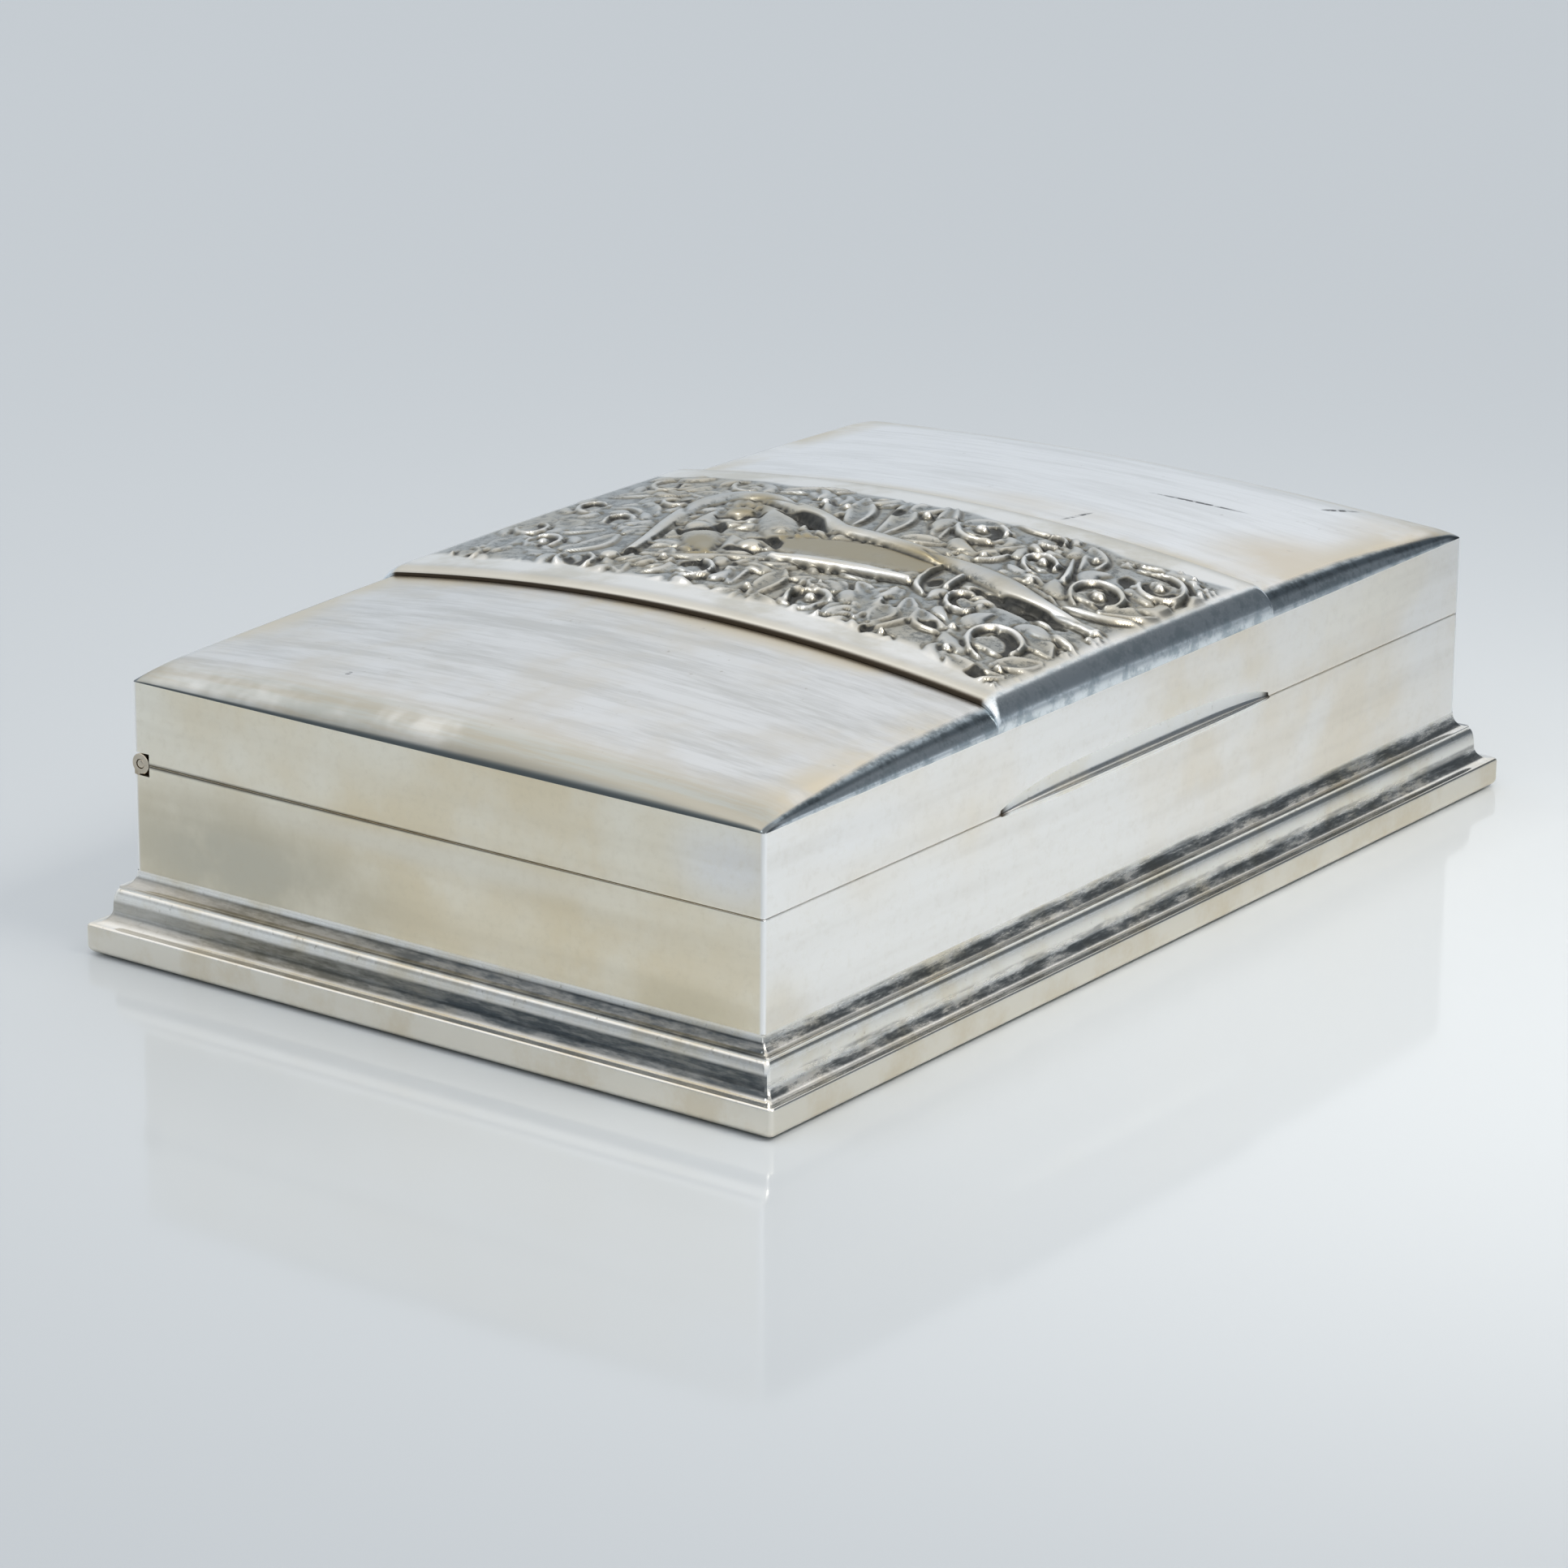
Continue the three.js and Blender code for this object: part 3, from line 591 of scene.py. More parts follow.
FELT = felt_cloth("felt")
SHEET_OF = {"left": LEFT, "right": LEFT, "front": FRONT, "back": FRONT}
MOULDED_OF = {"left": SIDE_MOULDED, "right": SIDE_MOULDED, "front": FRONT_MOULDED, "back": FRONT_MOULDED}


# Body of the box


def moulding_section():
    """Base moulding, up behind it and down its outer face."""
    ease = 0.05
    wall_top = (0.0, MOULDING_TOP)
    bulge_top = (FILLET_REACH, BULGE_TOP)
    bulge_foot = (BULGE_REACH, BULGE_FOOT)
    plinth_top = (PLINTH_REACH - PLINTH_TOP_ROUND, PLINTH_TOP)
    plinth_foot = (PLINTH_REACH, FOOT_HEIGHT + PLINTH_FOOT_ROUND)
    back = FOOT_REACH - MOULDING_SHEET
    outer = [wall_top] + quarter(wall_top, (CAVETTO_REACH, CAVETTO_FOOT), False)
    outer += [(FILLET_REACH - ease, CAVETTO_FOOT), (FILLET_REACH, CAVETTO_FOOT - ease), bulge_top]
    outer += quarter(bulge_top, bulge_foot, True) + quarter(bulge_foot, (LEDGE_REACH, PLINTH_TOP), False)
    outer += quarter(plinth_top, (PLINTH_REACH, PLINTH_TOP - PLINTH_TOP_ROUND), True, 6)
    outer += [plinth_foot] + quarter(plinth_foot, (FOOT_REACH, FOOT_HEIGHT), False)
    behind = [(back, FOOT_HEIGHT), (back, PLINTH_TOP - MOULDING_SHEET)]
    behind += [(BULGE_REACH - MOULDING_SHEET, BULGE_FOOT - MOULDING_SHEET)]
    behind += [(0.0, CAVETTO_FOOT - MOULDING_SHEET)]
    return (outer + behind)[::-1]


def sheet_edge(z, way):
    """Rounded edge of the sheet at height z, from outside inward; way is 1 below the seam, -1 above."""
    points = [(0, z - way * (SHEET_EDGE + HOLD)), (0, z - way * SHEET_EDGE)]
    points += quarter(points[-1], (-SHEET_EDGE, z), False, 3)
    return points + [(-SHEET_EDGE - HOLD, z)]


def sheet_radii(section):
    """Corner radii for a section of the sheet: tight inside, and with the same centre all round outside."""
    return [TIGHT if reach <= -WALL else CORNER + reach for reach, _ in section]


def add_box():
    moulding = moulding_section()
    radii = [MOULDING_CORNER + CORNER_GROWTH * min(1.0, reach) for reach, _ in moulding]
    wall = [(-WALL, WALL_FOOT), (0, WALL_FOOT)] + sheet_edge(SEAM, 1) + [(-WALL, SEAM)]
    for side in SIDES:
        strip = side_strip(side, moulding, radii)
        add_piece(f"base_moulding_{side}", strip, MOULDED_OF[side], "box", f"moulding_{side}")
        strip = side_strip(side, wall, sheet_radii(wall))
        obj = add_piece(f"body_wall_{side}", strip, SHEET_OF[side], "box", f"wall_{side}")
        if side != "front":
            cut_block(obj, (-FAR, HINGE_Y - NOTCH, SEAM - NOTCH), (FAR, FAR, FAR))
    add_block("board_under", BOARD, "box", "base_board", bevel=0.3)


def add_felt():
    """Felt glued under the board, a little fuzzy at its cut edge."""
    (x0, y0, z0), (x1, y1, z1) = cad_box("base_felt")
    X, Y = np.meshgrid(np.linspace(x0, x1, FELT_GRID[0]), np.linspace(y0, y1, FELT_GRID[1]))
    edge = (np.abs(X) == x1) | (np.abs(Y) == y1)
    sheets = []
    for z, rough in ((z1, 0.0), (z0, FELT_NAP)):
        shrink = np.where(edge, FELT_FRAY * rng.random(X.shape), 0.0)
        Z = z + rough * rng.random(X.shape)
        sheets.append(np.stack([X - np.sign(X) * shrink, Y - np.sign(Y) * shrink, Z], -1))
    felt = add_piece("felt_under", shell(*sheets), FELT, "box", "base_felt", ROUND_SHARP)


def add_lining():
    add_block("cedar_floor", CEDAR_X, "box", "lining_floor", bevel=0.1)
    inside, lip, soft = -WALL - LINING, -WALL - LIP_GAP, LINING_EDGE
    panel = [(inside, FLOOR_TOP), (-WALL, FLOOR_TOP), (-WALL, SEAM - LIP_START), (lip, SEAM - LIP_START)]
    panel += [(lip, LIP_TOP - soft)] + quarter((lip, LIP_TOP - soft), (lip - soft, LIP_TOP), False, 4)
    panel += [(inside + soft, LIP_TOP)] + quarter((inside + soft, LIP_TOP), (inside, LIP_TOP - soft), True, 4)
    top = BACK_LINING_TOP
    back = [(inside, FLOOR_TOP), (-WALL, FLOOR_TOP), (-WALL, top), (inside + soft, top)]
    back += quarter(back[-1], (inside, top - soft), True, 4)
    for side in SIDES:
        section = back if side == "back" else panel
        strip = side_strip(side, section, [TIGHT] * len(section), 1)
        grain = CEDAR_X if side in ("front", "back") else CEDAR_Y
        obj = add_piece(f"cedar_{side}", strip, grain, "box", f"lining_{side}")
        if side in ("left", "right"):
            cut_block(obj, (-FAR, HINGE_Y - NOTCH, top), (FAR, FAR, FAR))
    add_block("cedar_divider", CEDAR_Y, "box", "lining_divider", bevel=0.4)


# Hinge


def knuckle_outline(up):
    """Section of a knuckle about the pin: a round with a foot on the edge of its wall, up or, at -1, down."""
    inset = HALF_Y - HINGE_Y
    end = math.acos((inset - WALL) / KNUCKLE_R) - 2 * math.pi
    arc = np.linspace(math.acos(inset / KNUCKLE_R), end, KNUCKLE_STEPS)
    points = np.stack([np.cos(arc), np.sin(arc)], 1) * KNUCKLE_R
    return np.concatenate([points, [(inset - WALL, NOTCH), (inset, NOTCH)]]) * (1, up)


def add_knuckle(name, node, body, up):
    start, end = (corner[0] for corner in cad_box(node))
    outline = knuckle_outline(up)
    reach = np.hypot(*outline.T)[:, None]
    bore = outline / reach * (PIN_R + PIN_GAP)
    eased = outline / reach * (reach - KNUCKLE_EDGE)
    rings = [(start, bore), (start, eased), (start + KNUCKLE_EDGE, outline)]
    rings += [(end - KNUCKLE_EDGE, outline), (end, eased), (end, bore), (start, bore)]
    points = np.array([(x, HINGE_Y + y, SEAM + z) for x, ring in rings[:-1] for y, z in ring])
    faces = grid_faces(len(rings), len(outline), closed=True)
    faces = [tuple(k % len(points) for k in face) for face in faces]
    add_piece(name, (points, faces if up > 0 else flipped(faces)), HINGE, body, node)


def add_hinge():
    for k in range(1, 5):
        add_knuckle(f"hinge_body_{k}", f"body_knuckle_{k}", "box", -1)
    for k in range(1, 4):
        add_knuckle(f"hinge_lid_{k}", f"lid_knuckle_{k}", "lid", 1)
    start, end = (corner[0] for corner in cad_box("hinge_pin"))
    flat = 0.6 * PIN_R
    rounding = quarter((0.0, flat), (PIN_EDGE, PIN_R), False, 4)
    profile = [(start, 0.1 * PIN_R), (start, flat)] + [(start + x, r) for x, r in rounding]
    profile += [(end - (x - start), r) for x, r in profile[::-1]]
    turn = np.linspace(0, 2 * math.pi, PIN_STEPS, endpoint=False)
    rings = [[(x, HINGE_Y + r * math.cos(a), SEAM + r * math.sin(a)) for a in turn] for x, r in profile]
    add_piece("pin_of_hinge", tube(rings), HINGE, "box", "hinge_pin")


# Lid


def roll(inset, width):
    """Height of an elliptical roll of the given width, from 0 at its edge to 1."""
    rest = np.clip(1 - inset / width, 0, 1)
    return np.sqrt(1 - rest * rest)


def dome_share(place, half, edge):
    """Share of the dome's rise at a place across it: a rolled edge and a slow curve."""
    width, share = edge
    return share * roll(half - np.abs(place), width) + (1 - share) * (1 - (place / half) ** 2)


def dome_height(x, y):
    return RIM_TOP + DOME_RISE * dome_share(x, HALF_X, END_ROLL) * dome_share(y, HALF_Y, SIDE_ROLL)


def round_corners(X, Y):
    """The dome's grid, with its four corners drawn in to the corner radius."""
    qx = np.maximum(np.abs(X) - (HALF_X - CORNER), 0)
    qy = np.maximum(np.abs(Y) - (HALF_Y - CORNER), 0)
    pull = np.maximum(qx, qy) / np.maximum(np.hypot(qx, qy), 1e-9)
    return X - np.sign(X) * qx * (1 - pull), Y - np.sign(Y) * qy * (1 - pull)


def add_lid():
    rim = [(-WALL, LID_BOTTOM)] + sheet_edge(LID_BOTTOM, -1)[::-1] + [(0, RIM_TOP), (-WALL, RIM_TOP)]
    for side in SIDES:
        strip = side_strip(side, rim, sheet_radii(rim))
        obj = add_piece(f"lid_side_{side}", strip, SHEET_OF[side], "lid", f"lid_rim_{side}")
        if side != "front":
            cut_block(obj, (-FAR, HINGE_Y - NOTCH, 0), (FAR, FAR, SEAM + NOTCH))
    x = edge_lines(HALF_X, END_ROLL[0], steps=20, pitch=DOME_PITCH)
    y = edge_lines(HALF_Y, SIDE_ROLL[0], steps=16, pitch=DOME_PITCH)
    X, Y = np.meshgrid(x, y)
    upper = np.stack([*round_corners(X, Y), dome_height(X, Y)], -1)
    thinner = np.array([1 - WALL / HALF_X, 1 - WALL / HALF_Y, 1 - LID_SHEET / DOME_RISE])
    lower = (upper - (0, 0, RIM_TOP)) * thinner + (0, 0, RIM_TOP)
    add_piece("lid_dome", shell(upper, lower), TOP, "lid", "lid_top", ROUND_SHARP)
    add_block("gilt_plate", GILT, "lid", "lid_liner", bevel=0.12)


def thumb_section():
    """Hollow face with a lip, over a groove and a bead, as (reach from the front, height from the seam)."""
    gap = LID_BOTTOM - SEAM
    section = [(0, gap), (THUMB_CLEAR, gap), (THUMB_CLEAR, -BEAD_DROP)]
    for a in np.linspace(-math.pi / 2, math.pi / 2, BEAD_STEPS):
        out = GROOVE_REACH + (BEAD_REACH - GROOVE_REACH) * math.cos(a)
        section.append((out, BEAD_DROP / 2 * (math.sin(a) - 1)))
    nose = (LIP_REACH, (LIP_UNDER + LIP_EDGE) / 2)
    section += quarter(section[-1], (LIP_REACH - LIP_ROUND, LIP_UNDER), False, 4)
    section += quarter(section[-1], nose, True, 3)
    section += quarter(nose, (LIP_REACH - LIP_ROUND, LIP_EDGE), False, 3)
    face = (FACE_REACH, FACE_FOOT)
    return section + quarter(section[-1], face, True, 8) + [(0, THUMB_RISE)]


def add_thumbpiece():
    gap = LID_BOTTOM - SEAM
    rings = []
    for along in -np.cos(np.linspace(0, math.pi, THUMB_STEPS)):
        size = THUMB_TIP + (1 - THUMB_TIP) * (1 - along**4)
        ring = []
        for out, up in thumb_section():
            reach = out if out <= THUMB_CLEAR else THUMB_CLEAR + (out - THUMB_CLEAR) * size
            rise = gap + (up - gap) * size if up > gap else up * (size if up < 0 else 1)
            ring.append((along * THUMB_HALF, -HALF_Y - reach, SEAM + rise))
        rings.append(ring)
    add_piece("thumb_lip", tube(rings), THUMB, "lid", "thumbpiece")


# Ornament of the band

PITCH = 0.15  # of the grid that it is worked up on
GROUND = 0.2  # level of the ground
CHASED_DEPTH, CHASED_WIDTH = 0.28, 0.34  # line round each form
DEEPEST = -0.35  # bottom of the chased lines
SCROLL_LOBES, SCROLL_HEIGHT = 3, 1.2
FILL_X, FILL_Y, FILL_PITCH = 26, 43.5, 5.2  # small leaves: reach from the middle, and spacing
FILL_LOOK, FILL_COVER = 4, 0.35  # cells looked at round a place, and covered share past which it is skipped
FILL_SPRAYS = 0.7  # share of sprays among them, the rest being lobes
BACK_WEAR = 0.35  # share of its height that the ornament has lost at the back
UNDER_LINES = 9  # lines along the band's underside
LEFT_BORDER, RIGHT_BORDER = 6.0, 6.2  # plain border at the back
SLANT, DRAWN_OUT = np.array((0.81, 0.59)), 0.5  # scrolls are longer along this direction, by this share


def spline(control, per=16):
    """Points on a smooth curve through the control points."""
    p = np.asarray(control, float)
    if len(p) == 2:
        return np.linspace(p[0], p[1], per)
    q = np.concatenate([2 * p[:1] - p[1:2], p, 2 * p[-1:] - p[-2:-1]])
    t = np.linspace(0, 1, per, endpoint=False)[:, None]
    out = []
    for a, b, c, d in zip(q, q[1:], q[2:], q[3:]):
        cubic = (3 * b - a - 3 * c + d) * t**3 + (2 * a - 5 * b + 4 * c - d) * t**2
        out.append(0.5 * (2 * b + (c - a) * t + cubic))
    return np.concatenate(out + [p[-1:]])


def taper(along, start, end):
    """Size along a stroke: 1 in the middle, and the given shares at its two ends."""
    first = start + (1 - start) * np.clip(along / 0.25, 0, 1)
    return first * (end + (1 - end) * np.clip((1 - along) / 0.3, 0, 1))


def blur(field, sigma):
    """Gaussian blur of a grid, sigma in cells."""
    n = int(3 * sigma) + 1
    kernel = np.exp(-0.5 * (np.arange(-n, n + 1) / sigma) ** 2)
    kernel /= kernel.sum()
    for axis in (0, 1):
        padded = np.pad(field, [(n, n) if a == axis else (0, 0) for a in (0, 1)], mode="edge")
        field = sum(k * np.take(padded, range(i, i + field.shape[axis]), axis) for i, k in enumerate(kernel))
    return field


class Relief:
    """Height of the ornament above the band's border in millimetres, worked up form by form on a grid."""

    def __init__(self):
        self.x = np.arange(-BAND_HALF, BAND_HALF + PITCH, PITCH)
        self.y = np.arange(-HALF_Y, HALF_Y + PITCH, PITCH)
        self.height = np.full((len(self.y), len(self.x)), GROUND)
        self.covered = np.zeros(self.height.shape, bool)
        self.warm = np.zeros_like(self.height)
        # where the pockets are to be painted dark, with oxide and painted shade
        self.dark = np.zeros_like(self.height)

    def near(self, control, pad):
        """Part of the grid round a curve, with each point's distance from it and place along it, 0 to 1."""
        line = spline(control)
        low, high = line.min(0) - pad - 1, line.max(0) + pad + 1
        rows = slice(*np.searchsorted(self.y, (low[1], high[1])))
        columns = slice(*np.searchsorted(self.x, (low[0], high[0])))
        X, Y = np.meshgrid(self.x[columns], self.y[rows])
        steps = np.diff(line, axis=0)
        lengths = np.maximum(np.hypot(*steps.T), 1e-9)
        run = np.concatenate([[0], np.cumsum(lengths)])
        distance = np.full(X.shape, np.inf)
        along = np.zeros(X.shape)
        for (ax, ay), (dx, dy), length, before in zip(line, steps, lengths, run):
            t = np.clip(((X - ax) * dx + (Y - ay) * dy) / length**2, 0, 1)
            here = np.hypot(X - ax - t * dx, Y - ay - t * dy)
            along = np.where(here < distance, (before + t * length) / run[-1], along)
            distance = np.minimum(here, distance)
        return (rows, columns), distance, along

    def lay(self, part, outside, form):
        """A form over what is there, with a line chased round it; outside is measured from its edge."""
        ground = self.height[part]
        lined = ground - CHASED_DEPTH * np.exp(-((outside / CHASED_WIDTH) ** 2))
        lined = np.minimum(ground, np.maximum(lined, DEEPEST))
        self.height[part] = np.where(outside < 0, form, lined)
        self.dark[part] = np.where(outside < 0, 0.0, self.dark[part])
        self.covered[part] |= outside < 0.2

    def ridge(self, control, width, height, start=0.4, end=0.4, edge=0.2):
        """Rounded ridge; start and end are its size at its two ends as shares of the middle."""
        part, distance, along = self.near(control, width)
        size = taper(along, start, end)
        share = np.clip(1 - (distance / (width * size)) ** 2, 0, 1)
        rounded = edge + (1 - edge) * np.sqrt(share)
        self.lay(part, distance - width * size, height * rounded * (0.6 + 0.4 * size))

    def boss(self, x, y, radius, height):
        self.ridge([(x - 0.01, y), (x + 0.01, y)], radius, height, 1, 1, 0.25)

    def leaf(self, control, width, height, fold):
        """Plump leaf along a line from stalk to tip, creased along its middle."""
        part, distance, along = self.near(control, width)
        half = width * np.clip(np.sin(np.pi * along**0.8), 0.1, 1)
        share = np.clip(1 - (distance / half) ** 2, 0, 1)
        crease = fold * np.exp(-((distance / 0.35) ** 2))
        form = height * (0.15 + 0.85 * share**0.75) * (0.65 + 0.35 * np.sin(np.pi * along)) * (1 - crease)
        self.lay(part, distance - half, form)

    def spoon(self, control, width, rim, low):
        """Hollow lobe along a line, inside a rounded rim."""
        part, distance, along = self.near(control, width)
        half = width * np.clip(np.sin(np.pi * (0.12 + 0.8 * along)), 0.2, 1)
        share = distance / half
        hollow = low + (1 - low) * (share / 0.75) ** 2
        edge = np.sqrt(np.clip(1 - 0.85 * ((share - 0.75) / 0.25) ** 2, 0, 1))
        self.lay(part, distance - half, rim * np.where(share < 0.75, hollow, edge))

    def pocket(self, control, width, depth):
        """Hollow along a line, marked to be painted dark with oxide and painted shade."""
        part, distance, along = self.near(control, width)
        share = np.clip(1 - (distance / (width * taper(along, 0.3, 0.3))) ** 2, 0, 1)
        self.height[part] -= depth * share
        self.dark[part] = np.maximum(self.dark[part], np.clip(2.5 * share, 0, 1))
        self.covered[part] |= share > 0

    def stain(self, control, width):
        """Warm tarnish along a line."""
        part, distance, _ = self.near(control, width)
        self.warm[part] = np.maximum(self.warm[part], np.clip(2 - 2 * distance / width, 0, 1))

    def arc(self, x, y, radius, start, sweep, shrink=0.0):
        """An arc about (x, y) from start over sweep, in degrees, its radius shrinking by a share."""
        share = np.linspace(0, 1, 14)
        angle = np.radians(start + sweep * share)
        reach = radius * (1 - shrink * share)
        points = np.stack([reach * np.cos(angle), reach * np.sin(angle)], 1)
        return points + DRAWN_OUT * np.outer(points @ SLANT, SLANT) + (x, y)

    def scroll(self, x, y, radius, start, hand):
        """Leaf that curls, as a thin rim, round a dish with a crescent hollow dark with oxide and painted
        shade, with lobes on its outside.
        """
        for k in range(SCROLL_LOBES):
            at = start + hand * (25 + 75 * k)
            bends = ((0.8, 0), (1.35, 14), (1.65, 46))
            lobe = [self.arc(x, y, reach * radius, at + hand * turn, 1)[0] for reach, turn in bends]
            self.leaf(lobe, 0.4 * radius, 0.62 * SCROLL_HEIGHT, 0.12)
        along = DRAWN_OUT * radius * SLANT
        self.spoon([(x, y) - along, (x, y) + along], radius, 0.55 * SCROLL_HEIGHT, 0.3)
        self.pocket(self.arc(x, y, 0.48 * radius, start + hand * 120, hand * 200), 0.3 * radius, 0.4)
        rim = self.arc(x, y, 0.95 * radius, start, hand * 290, 0.35)
        self.ridge(rim, 0.1 * radius + 0.15, 0.85 * SCROLL_HEIGHT, 0.4, 0.8)

    def rosette(self, x, y, radius, petals, height):
        """Small flower round a boss."""
        for k in range(petals):
            angle = 2 * math.pi * (k + 0.3) / petals
            px, py = x + 0.62 * radius * math.cos(angle), y + 0.62 * radius * math.sin(angle)
            self.boss(px, py, 0.38 * radius, 0.85 * height)
        self.boss(x, y, 0.34 * radius, height)

    def spray(self, root, heading):
        """Small acanthus leaf: a fan of slender lobes from its root, all curling one way."""
        curl = rng.choice((-1, 1)) * rng.uniform(15, 40)
        for spread in (-26, 26, 0):
            length = rng.uniform(4.4, 6.2) - 0.04 * abs(spread)
            line = [np.array(root, float)]
            for turn in (spread, spread + curl, spread + 1.8 * curl):
                angle = math.radians(heading + turn)
                line.append(line[-1] + length / 3 * np.array((math.cos(angle), math.sin(angle))))
            self.ridge(line, rng.uniform(0.75, 1.0), rng.uniform(0.5, 0.75), 0.4, 0.3)

    def fill(self, centres):
        """Leaves and lobes wherever the ground still shows, turning about the nearest scroll."""
        for y in np.arange(-FILL_Y, FILL_Y, FILL_PITCH):
            for x in np.arange(-FILL_X, FILL_X, FILL_PITCH):
                place = np.array([x, y]) + rng.uniform(-0.35, 0.35, 2) * FILL_PITCH
                row, column = np.searchsorted(self.y, place[1]), np.searchsorted(self.x, place[0])
                around = tuple(slice(k - FILL_LOOK, k + FILL_LOOK + 1) for k in (row, column))
                if self.covered[around].mean() > FILL_COVER:
                    continue
                away = min((place - c for c in centres), key=lambda d: math.hypot(*d))
                away = away / max(math.hypot(*away), 0.1)
                forward = np.array([-away[1], away[0]]) * rng.choice((-1, 1))
                if rng.random() < FILL_SPRAYS:
                    self.spray(place - 2.5 * forward, math.degrees(math.atan2(forward[1], forward[0])))
                else:
                    bend = [place - 3 * forward, place + 0.4 * away, place + 3 * forward]
                    self.spoon(bend, rng.uniform(1.8, 2.4), rng.uniform(0.5, 0.7), 0.2)


# scrolls, as (x, y, radius, start in degrees, hand)
SCROLLS = (
    (-19, 7, 3.0, 150, 1), (-21.4, -12.4, 3.9, 200, 1), (-16.6, -38.8, 4.4, 180, -1),
    (18.4, -12.8, 4.2, 60, 1), (12.2, -26, 2.9, 200, -1), (21.4, -21.6, 2.2, 120, 1),
    (7.6, -38, 4.2, 160, -1), (16.8, -41, 4.0, 40, -1), (1, -11.4, 1.9, 90, 1),
    (-8.4, -27.8, 2.9, 330, 1), (-15.2, -10, 1.5, 60, 1), (-22.4, 23.6, 3.2, 60, 1),
    (-16, 34, 2.8, 140, -1), (20.5, 27, 3.0, 40, 1), (-3, 32, 2.7, 200, 1), (10, 31.5, 2.9, 330, -1),
    (18, 39, 3.0, 10, 1), (3.5, 41, 2.7, 250, -1), (-9.5, 41, 2.7, 80, 1), (-24, 41.5, 2.6, 20, -1),
)
# lobes with a rim, as (line, width)
SPOONS = (
    ([(-16, 20), (-20, 18.5), (-24.5, 15)], 2.2), ([(-13, 15.5), (-16.5, 14), (-20, 11.5)], 1.7),
    ([(-11.5, 3), (-16, 2), (-21.5, -0.5)], 1.8), ([(-13.5, -3), (-17.5, -4.5), (-24, -5.5)], 1.9),
    ([(-11.5, -14), (-15.5, -18), (-22, -20.5)], 2.1), ([(-12, -22), (-17, -24.5), (-24.5, -24)], 1.8),
    ([(-14.5, -25.5), (-17.6, -28.6), (-18.5, -33)], 2.0),
    ([(-13, -32.5), (-18.5, -33.5), (-24.5, -35.5)], 1.6),
    ([(-12.5, -37), (-12, -41), (-14.5, -45)], 2.4), ([(-24.5, -37), (-27, -41.5), (-25, -45)], 2.3),
    ([(9.5, 8), (14.5, 8.5), (19.5, 13)], 2.0), ([(8.5, 2.5), (14, 4.5), (22, 9)], 2.1),
    ([(8, -3), (15, -1.5), (23.5, 3)], 2.0), ([(10.5, -10), (17, -7), (26.5, -2.5)], 1.6),
    ([(7, -15), (9.5, -19), (14.5, -20.5)], 1.9), ([(4.5, -23), (6, -27.5), (5, -31)], 1.7),
    ([(25.5, -13), (24.5, -18), (25.5, -24)], 1.6), ([(14, -31), (18.5, -30), (23.5, -26.5)], 1.9),
    ([(3.5, -41), (7, -44.5), (12, -45)], 2.0), ([(20, 22), (22.5, 17), (24.5, 13)], 1.8),
    ([(-10, 27), (-15.5, 26.5), (-20, 30)], 2.2), ([(2, 29.5), (5, 34), (4, 38)], 2.0),
    ([(14, 33), (13, 38), (10, 43)], 2.1), ([(-8, 31), (-9.5, 35), (-7.5, 38.5)], 1.9),
)
# plain arcs, as (line, width, height)
ARCS = (
    ([(22.6, -34.5), (23.6, -40.5), (19.8, -45.6), (12.5, -47)], 0.75, 0.85),
    ([(20.9, -35), (21.6, -40.2), (18.3, -44.4), (12.5, -45.6)], 0.6, 0.8),
    ([(0.6, -36.4), (1.5, -42.5), (4.6, -46.6)], 0.8, 0.9),
    ([(-9.4, -36.5), (-9, -42), (-10.5, -46.6)], 0.8, 0.9),
    ([(0.3, -36.4), (3.9, -32.2), (10.3, -31), (17.4, -27.4)], 0.65, 0.95),
    ([(-9, -22.1), (-6.9, -19.4), (-1.9, -17.8), (3.4, -17.8)], 0.6, 1.0),
    ([(-8.5, -24), (-4, -22.6), (2.6, -21.6)], 0.6, 1.0),
)
# dark hollows, as (line, width, depth)
POCKETS = (
    ([(7.6, 15.4), (4.2, 16.4), (3, 19.6)], 1.1, 0.6), ([(-5, 17), (-2.4, 16), (1, 17.4)], 1.1, 0.6),
    ([(-3.4, 9.6), (-3.2, 6.4), (-5.4, 3.8)], 1.3, 0.6), ([(-18.6, 9.6), (-15.6, 8.2)], 1.3, 0.5),
    ([(-17.8, 19.8), (-15.6, 17.8)], 1.1, 0.5), ([(-9.4, 9.4), (-9.6, 6.6), (-7.4, 4.6)], 1.1, 0.6),
    ([(-4.6, 21), (-5, 18.4), (-2.8, 16.6)], 0.9, 0.5), ([(3.6, 20.6), (4.2, 17.6)], 0.9, 0.5),
    ([(-3.2, -26), (-3.4, -30), (-4.2, -35.5), (-5.4, -41)], 2.0, 0.8),
    ([(9.6, 14.4), (8, 9), (4.4, 3.4)], 1.5, 0.7), ([(8.4, 19), (5.5, 17)], 1.4, 0.5),
    ([(-5.6, -20.6), (-2.4, -20.2)], 0.9, 0.5), ([(-26.8, -41), (-26.2, -43)], 1.9, 0.6),
    ([(17.6, -35.6), (14.4, -37.6)], 1.2, 0.5), ([(-17.4, -27.4), (-17.8, -30)], 1.1, 0.5),
    ([(-26, -24), (-23.4, -24.4)], 0.8, 0.4), ([(12, -19.6), (13.8, -20.4)], 0.8, 0.4),
    ([(-17, 3.9), (-14.8, 3.2)], 0.6, 0.35), ([(9, 31), (10.5, 30)], 0.9, 0.4),
    ([(-22, 25.5), (-24.5, 23)], 0.8, 0.4), ([(16, 0.5), (20, 1.4)], 0.6, 0.35),
)
